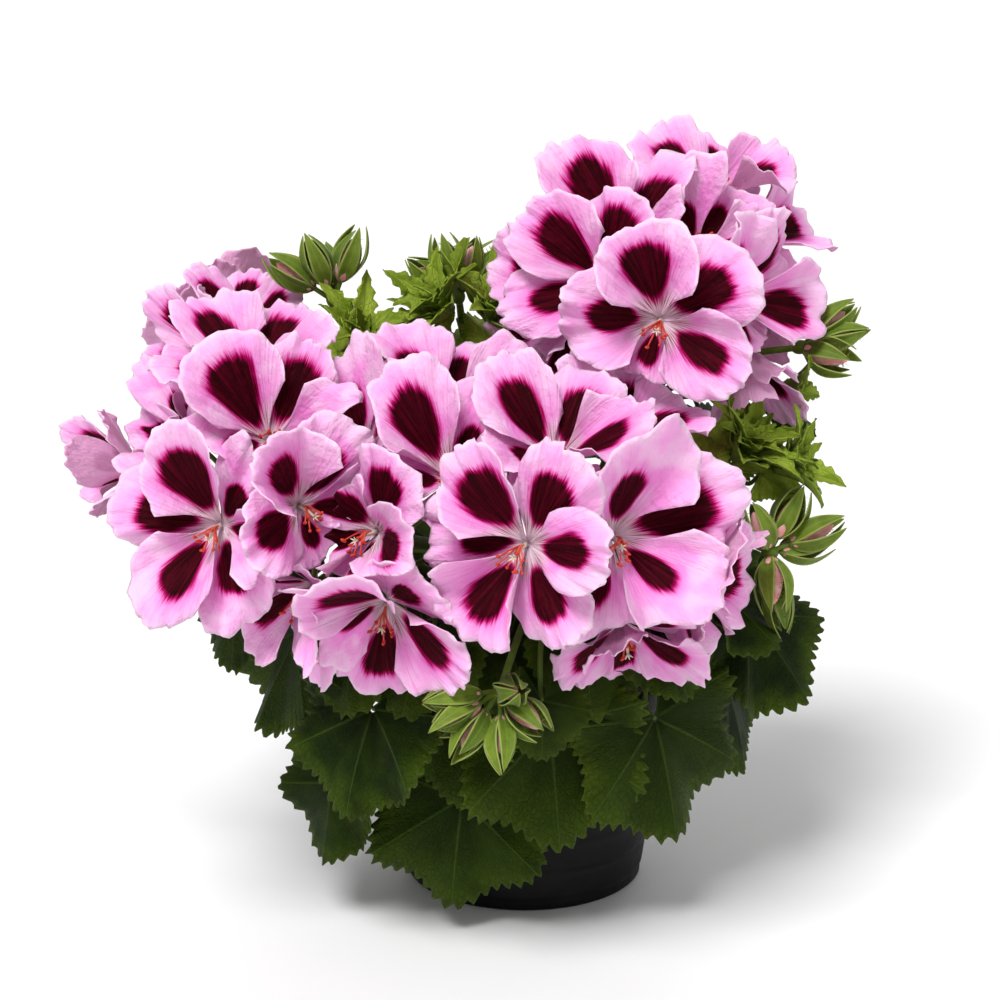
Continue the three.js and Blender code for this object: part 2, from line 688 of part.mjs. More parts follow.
// Each cluster: place along the stem, the point its stalk leads to, and the tips of its buds
const BUDS = {
  tall: [[0.72, [97, -4, 198], [[116, -2, 213], [120, -8, 205], [113, -14, 195], [114, 8, 192]]]],
  right: [[0.45, [-9, -100, 103], [
    [-33, -112, 103], [-31, -116, 94], [-24, -116, 85], [-8, -121, 83], [6, -117, 94], [-3, -121, 110],
  ]]],
  young: [[0.6, [85, -36, 132], [
    [77, -42, 151], [96, -36, 155], [110, -36, 143], [107, -28, 133], [86, -47, 114], [91, -39, 103],
  ]]],
  top_left: [[1, [-68, 4, 213], [[-59, 2, 239], [-77, -2, 237], [-91, 2, 229], [-72, 20, 231]]]],
  top_middle: [[1, [-24, 18, 212], [[-18, 12, 234], [-30, 20, 234], [-41, 12, 226], [-9, 20, 230]]]],
  far: [[0.9, [-94, 12, 186], [[-84, 6, 204], [-88, 22, 208]]]],
  back: [[1, [3, 50, 176], [[-1, 52, 200], [12, 56, 194], [-10, 62, 192]]]],
};

function stemCurve(name) {
  return bend(...STEMS[name].map(([x, y, z]) => V(x, y, z)));
}

function readLeaf(name, row, index) {
  const [x, y, z, azimuth, pitch, roll, reach, place, style] = row;
  const lying = facing(azimuth, pitch + 90, roll);
  const frame = { up: lying.up.clone().negate(), out: lying.out, side: lying.side.clone().negate() };
  const from = stemCurve(name).getPoint(place);
  return { joint: V(x, y, z), frame, from, reach, style, seed: 900 + 31 * index + x };
}

// The stems and stalks of a shoot, without its leaf blades
function rodsOf(name, grow = 0) {
  const stem = stemCurve(name);
  const rods = [rod(stem, taper(3, 2.2, 4), 4, grow)];
  for (const [place, [kx, ky, kz], tips] of BUDS[name] ?? []) {
    const knob = V(kx, ky, kz);
    const from = stem.getPoint(place);
    const middle = from.clone().lerp(knob, 0.5).add(V(0, 0, 0.08 * from.distanceTo(knob)));
    rods.push(rod(bend(from, middle, knob), taper(1.4, 1.2, 3), 4, grow), knobSolid(knob, grow));
    for (const [x, y, z] of tips) rods.push(budSolid(knob, V(x, y, z), grow));
  }
  if (HUBS[name]) {
    rods.push(knobSolid(HUBS[name], grow));
    for (const bloom of blooms) {
      if (bloom.hub === HUBS[name]) rods.push(pedicelSolid(bloom, grow));
    }
  }
  return wasm.Manifold.union(rods);
}

const leavesOf = (name) => LEAVES[name].map((row, i) => readLeaf(name, row, i));

// Takes away what a solid would share with its neighbours' rooms
function cutClear(solid, rooms) {
  return rooms.reduce((left, room) => {
    if (left.intersect(room).isEmpty()) return left;
    return left.subtract(room);
  }, solid);
}

const largest = (solid) => solid.decompose().sort((a, b) => b.volume() - a.volume())[0];

// The assembly

const group = new THREE.Group();

function addNode(name, solid, colour, roughness) {
  const material = new THREE.MeshStandardMaterial({ color: colour, roughness, metalness: 0 });
  const mesh = new THREE.Mesh(toGeometry(solid), material);
  mesh.name = name;
  group.add(mesh);
}

const blooms = BLOOMS.map(readBloom);
for (const bloom of blooms) {
  bloom.fits = roomFor(bloom, blooms);
  bloom.rooms = roomsRound(bloom);
}

addNode('pot', makePot(), COLOURS.pot, 0.5);
addNode('compost', makeCompost(), COLOURS.compost, 1);
addNode('woody_crown', crownSolid(), COLOURS.bark, 0.9);
for (const bloom of blooms) addNode(`bloom_${bloom.name}`, bloomSolid(bloom), COLOURS.petal, 0.6);

const shoots = Object.keys(STEMS);
const rodRooms = Object.fromEntries(shoots.map((name) => [name, rodsOf(name, CLEARANCE)]));
const crownRoom = crownSolid(SEAT_GAP);
const fixedRooms = [crownRoom, makePotRoom(), ...blooms.map((bloom) => bloomSolid(bloom, CLEARANCE))];
const leafRooms = [];

for (const name of shoots) {
  const others = shoots.filter((other) => other !== name).map((other) => rodRooms[other]);
  const leaves = leavesOf(name);
  const blades = leaves.map((leaf) =>
    largest(cutClear(leafSolid(leaf), [...fixedRooms, ...others, ...leafRooms])));
  leafRooms.push(...leaves.map((leaf) => leafSolid(leaf, CLEARANCE)));
  const shoot = wasm.Manifold.union([rodsOf(name).subtract(crownRoom), ...blades]);
  addNode(`shoot_${name}`, largest(shoot), COLOURS.foliage, 0.8);
}

export default group;
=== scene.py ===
"""The looks of a potted flowering pelargonium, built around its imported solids.

Tables and shape rules are in millimetres, in the frame of the solids; meshes are made in metres.
An azimuth of 0 points to the front (-Y), 90 to +X and 180 to the back, in degrees.
"""

import math
from types import SimpleNamespace

import bpy
import numpy as np
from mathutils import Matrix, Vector


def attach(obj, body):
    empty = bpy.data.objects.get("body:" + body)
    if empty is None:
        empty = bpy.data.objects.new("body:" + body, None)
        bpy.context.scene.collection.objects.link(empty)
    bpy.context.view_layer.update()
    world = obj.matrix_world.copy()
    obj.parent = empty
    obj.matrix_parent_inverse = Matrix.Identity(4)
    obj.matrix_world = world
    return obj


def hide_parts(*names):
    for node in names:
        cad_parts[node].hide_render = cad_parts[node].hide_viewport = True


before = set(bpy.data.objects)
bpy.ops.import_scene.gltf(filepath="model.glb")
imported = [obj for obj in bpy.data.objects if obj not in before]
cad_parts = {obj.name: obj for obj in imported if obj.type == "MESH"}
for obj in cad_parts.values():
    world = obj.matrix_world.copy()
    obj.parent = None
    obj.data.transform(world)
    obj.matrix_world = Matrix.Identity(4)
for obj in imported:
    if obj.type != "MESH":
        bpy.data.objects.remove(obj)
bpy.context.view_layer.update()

MM = 0.001

# Sizes, the same as the solids'
POT_HEIGHT = 105
POT_TOP_RADIUS = 60
POT_BASE_RADIUS = 43
POT_WALL = 1.6
POT_FLOOR = 2
LIP_HEIGHT = 14
LIP_STEP = 2
DRAIN_HOLES = 6
DRAIN_RADIUS = 4
COMPOST_TOP = 93
CROWN_RADIUS = 9
CROWN_FOOT = 52
CROWN_TOP = 114
SEAT_GAP = 0.3
CLEARANCE = 0.4
PETAL_LENGTH = 37
PETAL_THICKNESS = 0.8
HEART_RADIUS = 2.6
PEDICEL_RADIUS = 0.9
CALYX_RADIUS = 2.3
PETIOLE_RADIUS = 1.1
KNOB_RADIUS = 3.2

# The camera stands where the photograph's did
CAMERA_TARGET = Vector((-9, 0, 141)) * MM
CAMERA_DISTANCE = 1000 * MM
CAMERA_ELEVATION = math.radians(15)
CAMERA_LENS = 100
CAMERA_SENSOR = 36
CAMERA_REACH = 0.05, 50


def add_object(name, data):
    obj = bpy.data.objects.new(name, data)
    bpy.context.scene.collection.objects.link(obj)
    return obj


def make_camera():
    data = bpy.data.cameras.new("camera")
    data.lens = CAMERA_LENS
    data.sensor_width = CAMERA_SENSOR
    data.clip_start, data.clip_end = CAMERA_REACH
    camera = add_object("camera", data)
    back = Vector((0, -math.cos(CAMERA_ELEVATION), math.sin(CAMERA_ELEVATION)))
    camera.location = CAMERA_TARGET + back * CAMERA_DISTANCE
    camera.rotation_euler = (-back).to_track_quat("-Z", "Y").to_euler()
    bpy.context.scene.camera = camera


make_camera()

# Petals go round the heart from the upper left, clockwise as the bloom's face is seen
PETAL_TURNS = {5: [124, 56, -14, -90, -166], 6: [122, 62, 2, -60, -118, 178]}
PETAL_RISE = {5: [30, 17, 27, 11, 21], 6: [29, 16, 26, 12, 24, 14]}

# Each bloom: name, centre x y z, azimuth, elevation, roll, size, how far closed, petals
BLOOMS = [
    ["tall_front", 45, -46, 216, -4, 6, -20, 0.96, 0, 5],
    ["tall_left", 16, -16, 213, -60, 10, 12, 0.9, 6, 5],
    ["tall_upper_front", 34, -12, 236, -14, 46, 4, 1, 6, 5],
    ["tall_upper_right", 60, -8, 234, 14, 46, -10, 0.88, 8, 5],
    ["tall_top", 65, 18, 248, 10, 66, 10, 0.84, 4, 5],
    ["tall_upper_left", 26, 4, 229, -48, 44, -8, 0.82, 8, 5],
    ["tall_right", 76, 12, 232, 62, 38, 8, 0.92, 6, 5],
    ["tall_front_right", 71, -22, 219, 46, 6, -4, 0.92, 4, 5],
    ["tall_side", 80, 22, 210, 100, -14, 20, 0.66, 14, 5],
    ["tall_drooping", 73, -14, 200, 35, -56, 15, 0.5, 36, 5],
    ["tall_inner_left", 27, -31, 226, -34, 22, 18, 0.88, 8, 5],
    ["tall_back_right", 62, 44, 224, 150, 30, 6, 0.86, 6, 5],
    ["tall_back_left", 36, 46, 226, -160, 32, -6, 0.9, 6, 5],
    ["right_front", -1, -118, 158, -24, 6, 0, 0.98, 0, 6],
    ["right_main", 28, -98, 155, 24, 8, -36, 1.2, 2, 5],
    ["right_side", 52, -73, 133, 70, -10, 10, 0.92, 8, 5],
    ["right_lower", 32, -88, 121, 14, -44, 6, 0.7, 12, 5],
    ["right_upper", 9, -88, 179, -6, 56, 10, 0.88, 8, 5],
    ["right_top", 29, -60, 178, 42, 62, -6, 0.84, 6, 5],
    ["middle_upper", -25, -87, 172, -4, 44, 6, 0.95, 8, 5],
    ["middle_top", -54, -67, 178, -26, 54, 0, 0.9, 8, 5],
    ["middle_front", -50, -96, 156, -40, 12, 8, 0.86, 8, 5],
    ["middle_lower", -46, -98, 132, -10, -24, -6, 0.9, 12, 5],
    ["middle_left", -72, -86, 134, -44, -18, 10, 0.86, 12, 5],
    ["middle_back", -27, -50, 185, 12, 70, 6, 0.88, 8, 5],
    ["left_front", -101, -88, 156, -14, 6, -8, 1, 0, 6],
    ["left_upper", -85, -72, 181, 6, 38, 6, 0.95, 6, 5],
    ["left_top", -94, -46, 196, -10, 66, 12, 0.86, 8, 5],
    ["left_side", -116, -46, 174, -64, 34, -6, 0.8, 10, 5],
    ["left_outer", -135, -28, 160, -84, 10, 30, 0.52, 30, 5],
    ["left_inner", -74, -90, 163, 30, 10, 6, 0.85, 12, 5],
    ["far_upper", -102, 8, 204, 6, 64, 20, 0.62, 8, 5],
    ["far_front", -110, -6, 195, -58, 14, 8, 0.7, 12, 5],
    ["far_back", -108, 34, 196, -145, 30, 4, 0.76, 8, 5],
]

# Each shoot's stem, from the crown to its top. A head's flower stalks leave the top.
HEADS = ["tall", "right", "middle", "left", "far"]
STEMS = {
    "tall": [[5, 2, 102], [34, 8, 136], [47, 14, 172], [50, 12, 200]],
    "right": [[2, -5, 101], [10, -34, 124], [16, -60, 144]],
    "middle": [[-1, -5, 109], [-24, -30, 130], [-44, -54, 142]],
    "left": [[-5, -1, 100], [-46, -24, 126], [-98, -42, 156]],
    "far": [[-5, 3, 104], [-44, 18, 132], [-108, 18, 184]],
    "young": [[5, -2, 110], [42, -16, 132], [68, -22, 156]],
    "top_left": [[-3, 0, 110], [-32, 4, 152], [-63, 6, 205]],
    "top_middle": [[1, 4, 108], [-9, 20, 152], [-23, 20, 204]],
    "back": [[2, 5, 101], [6, 34, 134], [4, 48, 168]],
}

# Each row: joint x y z, the blade's azimuth, pitch and roll, its reach, place along the stem, style
LEAVES = {
    "tall": [
      [72, 24, 166, 104, -14, 10, 22, 0.78, "small"],
      [91, -1, 176, 60, -40, 40, 17, 0.7, "small"],
      [62, 34, 166, 140, -20, 0, 26, 0.7, "small"],
      [78, -27, 107, 42, -52, 24, 37, 0.12, "large"],
      [72, -24, 78, 74, -68, 0, 30, 0.08, "large"],
      [64, -30, 128, 50, -52, 0, 26, 0.35, "small"],
    ],
    "right": [
      [44, -68, 82, 30, -74, 8, 41, 0.3, "large"],
      [8, -78, 82, 4, -76, 4, 40, 0.35, "large"],
      [70, -42, 118, 56, -46, 14, 24, 0.6, "small"],
      [5, -93, 97, 6, -74, 0, 19, 0.45, "small"],
      [22, -72, 113, 14, -62, -8, 27, 0.4, "small"],
      [44, -60, 114, 36, -58, 12, 27, 0.5, "small"],
    ],
    "middle": [
      [-20, -68, 84, -8, -78, -4, 31, 0.3, "large"],
      [-52, -76, 88, -30, -66, -8, 36, 0.4, "large"],
      [-22, -66, 52, -6, -80, -6, 38, 0.1, "large"],
      [-6, -73, 112, -2, -64, 14, 27, 0.4, "small"],
      [-34, -76, 113, -14, -60, -12, 26, 0.5, "small"],
      [-58, -62, 112, -38, -58, 10, 28, 0.5, "small"],
    ],
    "left": [
      [-80, -34, 102, -62, -62, -8, 37, 0.26, "large"],
      [-96, -58, 126, -50, -58, 10, 27, 0.7, "small"],
      [-68, -49, 51, -46, -78, 0, 27, 0.15, "small"],
      [-84, -40, 132, -56, -48, 8, 24, 0.6, "small"],
    ],
    "far": [
      [-72, 10, 100, -100, -56, 0, 34, 0.2, "large"],
      [-60, 40, 102, -128, -56, 0, 34, 0.25, "large"],
      [-84, 30, 160, -120, 0, 0, 26, 0.6, "small"],
    ],
    "young": [
      [57, -31, 161, -10, -50, -170, 16, 0.75, "small"],
      [72, -20, 164, 10, -54, 160, 18, 0.85, "small"],
      [82, -27, 158, 24, -40, 108, 17, 0.95, "small"],
      [68, -2, 156, 150, -10, 0, 20, 0.9, "small"],
    ],
    "top_left": [
      [-54, -4, 190, 0, -45, 125, 24, 0.55, "small"],
      [-72, 18, 192, -120, 5, 0, 20, 0.85, "small"],
      [-66, -3, 196, -20, -30, -60, 18, 0.9, "small"],
    ],
    "top_middle": [
      [-22, 4, 186, 0, -48, -125, 25, 0.6, "small"],
      [-7, 10, 194, 20, -40, 140, 22, 0.6, "small"],
      [-22, 38, 190, -160, 10, 0, 22, 0.8, "small"],
    ],
    "back": [
      [38, 60, 102, 146, -58, 0, 36, 0.15, "large"],
      [2, 70, 100, 180, -58, 0, 36, 0.1, "large"],
      [-28, 67, 106, -165, -54, 0, 34, 0.2, "large"],
      [54, 40, 128, 120, -24, 0, 31, 0.4, "large"],
      [-20, 52, 146, -120, -14, 0, 28, 0.7, "large"],
      [22, 58, 146, 160, -12, 0, 28, 0.75, "large"],
    ],
}

# Each shoot's buds: place along the stem, the point their stalk leads to, and their tips
BUDS = {
    "tall": [0.72, [97, -4, 198], [[116, -2, 213], [120, -8, 205], [113, -14, 195], [114, 8, 192]]],
    "right": [0.45, [-9, -100, 103], [
      [-33, -112, 103], [-31, -116, 94], [-24, -116, 85], [-8, -121, 83], [6, -117, 94], [-3, -121, 110],
    ]],
    "young": [0.6, [85, -36, 132], [
      [77, -42, 151], [96, -36, 155], [110, -36, 143], [107, -28, 133], [86, -47, 114], [91, -39, 103],
    ]],
    "top_left": [1, [-68, 4, 213], [[-59, 2, 239], [-77, -2, 237], [-91, 2, 229], [-72, 20, 231]]],
    "top_middle": [1, [-24, 18, 212], [[-18, 12, 234], [-30, 20, 234], [-41, 12, 226], [-9, 20, 230]]],
    "far": [0.9, [-94, 12, 186], [[-84, 6, 204], [-88, 22, 208]]],
    "back": [1, [3, 50, 176], [[-1, 52, 200], [12, 56, 194], [-10, 62, 192]]],
}

# Tufts of young leaves: name, foot, the way they open, how many, how long
TUFTS = [
    ["right_upper", [72, -28, 163], [0.5, -0.5, 0.8], 23, 31],
    ["right_outer", [86, -24, 158], [1, -0.4, 0.5], 15, 27],
    ["top_left", [-60, 0, 196], [0.3, -0.6, 0.9], 14, 29],
    ["top_left_low", [-46, -4, 188], [0.9, -0.6, 0.5], 12, 31],
    ["top_middle", [-26, 8, 206], [-0.6, -0.5, 0.9], 20, 32],
    ["top_middle_right", [-12, 6, 203], [0.2, -0.5, 1], 15, 31],
    ["tall_side", [88, -6, 184], [0.9, -0.3, 0], 9, 20],
]

# The room that a bloom has among its neighbours, in millimetres, shares of a length and degrees
CUP_DEPTH = 7
DIVIDE_TILT = 0.9
FULL_TILT_LIFT = 9
NEIGHBOUR_REACH = 90
STALK_MARGIN = 2.6
DIRECTIONS = 36
LEAST_ROOM = 9
CURLS = [0.3, 0.12, 0]

# A petal's plain form, as the solid has it, in degrees and shares of its length
CLAW_HALF_WIDTH = 25
BLADE_HALF_WIDTH = 46
MIDDLE_OUTWARD = 0.42
FLANK_FALL = 0.34
FLANK_POWER = 2.4
EDGE_UNEVEN = 0.05
OVERLAP_LIFT = 0.07
FACE_WAVES = 5
WAVE_DEPTH = 0.03
EDGE_DROOP = 0.1
SMALLEST_PETAL = 0.25
SHRINK_STEP = 0.03
EDGE_ROW = np.array([-1, -0.52, 0, 0.52, 1])

# One turn, as the phases of the waves below take it
ROUND = 6.28


def chance(number):
    """A repeatable draw between 0 and 1 for each number."""
    wave = math.sin(number * 12.9898 + 4.1414) * 43758.5453
    return wave - math.floor(wave)


def swing(number):
    return 2 * chance(number) - 1


def phase(number):
    return ROUND * chance(number)


def unit(v):
    return v / np.linalg.norm(v, axis=-1, keepdims=True)


def rows_of(*values):
    """Three numbers for each point of a grid, any of them the same all over."""
    return np.stack(np.broadcast_arrays(*values), axis=-1).astype(float)


def facing(azimuth, elevation, roll=0):
    """The side, up and out directions of something that faces a direction."""
    a, e, r = np.radians([azimuth, elevation, roll])
    out = np.array([np.sin(a) * np.cos(e), -np.cos(a) * np.cos(e), np.sin(e)])
    level = np.array([np.cos(a), np.sin(a), 0])
    above = np.cross(out, level)
    side = level * np.cos(r) + above * np.sin(r)
    up = above * np.cos(r) - level * np.sin(r)
    return side, up, out


def spoke(side, up, turn):
    """A direction square to an axis, at a turn round it in radians."""
    return math.cos(turn) * side + math.sin(turn) * up


def curve_point(points, t):
    """A point of the centripetal Catmull-Rom curve through the points, at a share t of it."""
    p = [np.asarray(q, float) for q in points]
    place = (len(p) - 1) * t
    i = min(int(place), len(p) - 2)
    w = place - i
    before = p[i - 1] if i > 0 else 2 * p[0] - p[1]
    after = p[i + 2] if i + 2 < len(p) else 2 * p[-1] - p[-2]
    d0, d1, d2 = (
        max(float(np.sum((b - a) ** 2)) ** 0.25, 1e-4)
        for a, b in ((before, p[i]), (p[i], p[i + 1]), (p[i + 1], after))
    )
    t1 = (p[i] - before) / d0 - (p[i + 1] - before) / (d0 + d1) + (p[i + 1] - p[i]) / d1
    t2 = (p[i + 1] - p[i]) / d1 - (after - p[i]) / (d1 + d2) + (after - p[i + 1]) / d2
    t1, t2 = t1 * d1, t2 * d1
    a, b = p[i], p[i + 1]
    return a + t1 * w + (3 * (b - a) - 2 * t1 - t2) * w**2 + (2 * (a - b) + t1 + t2) * w**3


def curve(points, count):
    return np.array([curve_point(points, t) for t in np.linspace(0, 1, count)])


def eased(row, values, at):
    """Values given along a row, read between its places with soft steps."""
    at = np.clip(at, row[0], row[-1])
    i = np.clip(np.searchsorted(row, at, side="right") - 1, 0, len(row) - 2)
    w = (at - row[i]) / (row[i + 1] - row[i])
    w = w * w * (3 - 2 * w)
    return values[i] * (1 - w) + values[i + 1] * w


# Meshes

class Builder:
    """Gathers grids, tubes and their attributes into one mesh."""

    def __init__(self):
        self.points, self.faces, self.data = [], [], []
        self.count = 0

    def add(self, points, faces, **attributes):
        points = np.asarray(points, float).reshape(-1, 3)
        self.points.append(points)
        self.faces.extend((np.asarray(f) + self.count).tolist() for f in faces)
        self.data.append({
            name: np.broadcast_to(np.asarray(value, float), (len(points), 3))
            for name, value in attributes.items()
        })
        self.count += len(points)

    def object(self, name, material, smooth=True):
        mesh = bpy.data.meshes.new(name)
        mesh.from_pydata((np.concatenate(self.points) * MM).tolist(), [], self.faces)
        for key in sorted({key for row in self.data for key in row}):
            values = [row.get(key, np.zeros_like(p)) for row, p in zip(self.data, self.points)]
            attribute = mesh.attributes.new(key, "FLOAT_VECTOR", "POINT")
            attribute.data.foreach_set("vector", np.concatenate(values).astype(np.float32).ravel())
        mesh.polygons.foreach_set("use_smooth", [smooth] * len(mesh.polygons))
        mesh.materials.append(material)
        mesh.update()
        obj = add_object(name, mesh)
        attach(obj, "root")
        return obj


def grid_faces(rows, columns, closed=False):
    """The quads of a grid of points, closed round its columns where it is a tube."""
    faces = []
    for r in range(rows - 1):
        for c in range(columns if closed else columns - 1):
            d = (c + 1) % columns
            faces.append((r * columns + c, r * columns + d, (r + 1) * columns + d, (r + 1) * columns + c))
    return faces


def add_sheet(builder, grid, thickness, front, **attributes):
    """A thin closed blade from a grid of points whose front looks along a direction.

    The middle number of the attribute mark is 1 on the front and 0 on the back.
    """
    rows, columns = grid.shape[:2]
    normal = np.cross(np.gradient(grid, axis=1), np.gradient(grid, axis=0))
    normal = normal / np.maximum(np.linalg.norm(normal, axis=2, keepdims=True), 1e-9)
    faces = grid_faces(rows, columns)
    size = rows * columns
    index = np.arange(size).reshape(rows, columns)
    loop = [*index[0, :], *index[1:, -1], *index[-1, -2::-1], *index[-2:0:-1, 0]]
    if np.sum(normal * front) < 0:
        normal = -normal
        faces = [face[::-1] for face in faces]
        loop = loop[::-1]
    faces += [tuple(i + size for i in reversed(face)) for face in faces]
    faces += [(b, a, a + size, b + size) for a, b in zip(loop, loop[1:] + loop[:1])]
    half = normal * thickness / 2
    both = {}
    for key, value in attributes.items():
        value = np.broadcast_to(np.asarray(value, float).reshape(-1, 3), (size, 3))
        both[key] = np.concatenate([value, value * [1, 0, 1] if key == "mark" else value])
    builder.add(np.concatenate([grid + half, grid - half]), faces, **both)


def add_tube(builder, path, radii, sides=8, **attributes):
    """A round closed tube along a path of points."""
    path = np.asarray(path, float)
    radii = np.broadcast_to(np.asarray(radii, float), len(path))
    along = unit(np.gradient(path, axis=0))
    across = np.array([0, 0, 1.0]) if abs(along[0][2]) < 0.8 else np.array([1.0, 0, 0])
    turn = np.linspace(0, 2 * np.pi, sides, endpoint=False)
    rings = []
    for centre, radius, direction in zip(path, radii, along):
        across = unit(across - direction * np.dot(across, direction))
        other = np.cross(direction, across)
        rings.append(centre + radius * (np.outer(np.cos(turn), across) + np.outer(np.sin(turn), other)))
    points = np.concatenate([*rings, path[:1], path[-1:]])
    faces = grid_faces(len(path), sides, closed=True)
    first, last, row = len(points) - 2, len(points) - 1, (len(path) - 1) * sides
    for c in range(sides):
        d = (c + 1) % sides
        faces += [(first, d, c), (last, row + c, row + d)]
    builder.add(points, faces, **attributes)


def add_ball(builder, centre, axis, length, radius, sides=8, rings=6, **attributes):
    """A small egg-shaped body along an axis."""
    share = np.linspace(0.04, 0.96, rings)
    path = np.asarray(centre) + np.outer((share - 0.5) * length, unit(np.asarray(axis, float)))
    add_tube(builder, path, radius * np.sqrt(1 - (2 * share - 1) ** 2), sides, **attributes)


def add_blade(builder, start, tip, up, counts, thickness, form, **attributes):
    """A pointed blade from start to tip.

    A form gives its half width, its height and the attributes that vary, for v along and u across.
    """
    start, tip = np.asarray(start, float), np.asarray(tip, float)
    along = tip - start
    length = np.linalg.norm(along)
    up = unit(up - unit(along) * np.dot(up, unit(along)))
    side = np.cross(unit(along), up)
    v, u = np.meshgrid(np.linspace(0, 1, counts[0]), np.linspace(-1, 1, counts[1]), indexing="ij")
    half, height, varied = form(v, u, length)
    grid = start + v[..., None] * along + (u * half)[..., None] * side + height[..., None] * up
    add_sheet(builder, grid, thickness, up, **attributes, **varied)


def placed(thing, across, upward, outward):
    """Points given in a bloom's or a leaf's own directions, from its centre."""
    return (
        thing.centre
        + across[..., None] * thing.side
        + upward[..., None] * thing.up
        + outward[..., None] * thing.out
    )


# Blooms

def read_bloom(row, index):
    name, x, y, z, azimuth, elevation, roll, size, closed, petals = row
    side, up, out = facing(azimuth, elevation, roll)
    centre = np.array([x, y, z], float)
    head = name.split("_")[0]
    return SimpleNamespace(
        name=name,
        head=head,
        index=index,
        side=side,
        up=up,
        out=out,
        centre=centre,
        size=size,
        hub=hub_of(head),
        cup=centre + out * CUP_DEPTH,
        turns=PETAL_TURNS[petals],
        rises=[rise + closed for rise in PETAL_RISE[petals]],
        length=PETAL_LENGTH * size,
    )


def hub_of(head):
    return np.array(STEMS[head][-1], float)


def set_room(bloom, blooms):
    """Keeps the planes to a bloom's neighbours and the neighbours' stalks."""
    walls, stalks = [], []
    for other in blooms:
        across = other.cup - bloom.cup
        if other is bloom or np.linalg.norm(across) >= NEIGHBOUR_REACH:
            continue
        shared = unit(bloom.out + other.out)
        tilt = np.clip(across @ shared / FULL_TILT_LIFT, -1, 1) * DIVIDE_TILT
        point = bloom.cup + across * bloom.size / (bloom.size + other.size)
        walls.append((point, unit(unit(across) + shared * tilt)))
        stalks.append((other.hub, other.centre))
    bloom.walls = [np.array(w) for w in zip(*walls)]
    bloom.stalks = [np.array(s) for s in zip(*stalks)]


def fits(bloom, points):
    """Which points lie in a bloom's own room among its neighbours."""
    flat = points.reshape(-1, 1, 3)
    place, normal = bloom.walls
    inside = ((flat - place) * normal).sum(-1) < -(PETAL_THICKNESS + CLEARANCE) / 2
    start, end = bloom.stalks
    run = end - start
    share = np.clip(((flat - start) * run).sum(-1) / (run * run).sum(-1), 0, 1)
    gap = np.linalg.norm(flat - start - share[..., None] * run, axis=-1)
    return (inside & (gap > STALK_MARGIN)).all(-1).reshape(points.shape[:-1])


def bloom_point(bloom, radius, angle, height):
    a = np.radians(angle)
    return placed(bloom, radius * np.cos(a), radius * np.sin(a), height)


def shared_height(bloom, radius, angle, room, curl):
    outward = radius / bloom.length
    wave = np.sin(np.radians(FACE_WAVES * angle) + 2 * np.pi * chance(bloom.index + 400))
    return (
        curl * (bloom.length - room) * np.minimum(radius / room, 1) ** 2
        + WAVE_DEPTH * bloom.length * wave * outward**2
        - EDGE_DROOP * bloom.length * outward**3
    )


def rooms_round(bloom):
    """The free radius round a bloom in each direction, and how much its petals curl up there."""
    angle = (360 * np.arange(DIRECTIONS) / DIRECTIONS)[:, None, None, None]
    rooms = np.arange(bloom.length, LEAST_ROOM, -1)
    rises = np.array([min(bloom.rises), max(bloom.rises)])[:, None]
    radius = rooms[:, None, None] * np.array([0.5, 0.8, 1])
    bloom.rooms, bloom.curls = np.zeros(DIRECTIONS), np.zeros(DIRECTIONS)
    for curl in CURLS:
        height = radius * np.tan(np.radians(rises)) + shared_height(
            bloom, radius, angle, rooms[:, None, None], curl)
        places = [np.broadcast_to(value, height.shape) for value in (radius, angle)]
        clear = fits(bloom, bloom_point(bloom, *places, height)).all((2, 3))
        found = np.where(clear.any(1), rooms[clear.argmax(1)], LEAST_ROOM)
        better = found > bloom.rooms + 1
        bloom.rooms[better] = found[better]
        bloom.curls[better] = curl


def room_at(bloom, angle):
    place = (np.mod(angle, 360) * DIRECTIONS) / 360
    i = np.floor(place).astype(int) % DIRECTIONS
    j = (i + 1) % DIRECTIONS
    w = place - np.floor(place)
    return tuple(values[i] * (1 - w) + values[j] * w for values in (bloom.rooms, bloom.curls))


def side_above(bloom, petal, across):
    """Whether a petal lies over (1) or under (-1) its neighbour on each side."""
    count = len(bloom.turns)
    neighbour = np.where(across > 0, (petal + count - 1) % count, (petal + 1) % count)
    return np.sign(bloom.rises[petal] - np.array(bloom.rises)[neighbour])


def petal_point(bloom, petal, across, outward, shrink):
    """The radius, angle and height of a petal's points.

    Across runs from -1 to 1, and outward from 0 at the heart to 1 at the edge.
    """
    half = (CLAW_HALF_WIDTH + (BLADE_HALF_WIDTH - CLAW_HALF_WIDTH) * outward) * (5 / len(bloom.turns))
    angle = bloom.turns[petal] + half * across
    seed = bloom.index * 17 + petal * 5
    uneven = EDGE_UNEVEN * eased(EDGE_ROW, np.array([swing(seed + 3 * a) for a in EDGE_ROW]), across)
    outline = 1 - FLANK_FALL * np.abs(across) ** FLANK_POWER + uneven
    radius = HEART_RADIUS + (bloom.length * outline * shrink - HEART_RADIUS) * outward
    overlap = side_above(bloom, petal, across) * np.abs(across) ** 2
    height = (
        (radius - HEART_RADIUS) * math.tan(math.radians(bloom.rises[petal]))
        + shared_height(bloom, radius, angle, *room_at(bloom, angle)) * outward**0.5
        + OVERLAP_LIFT * radius * overlap * outward
    )
    return radius, angle, height


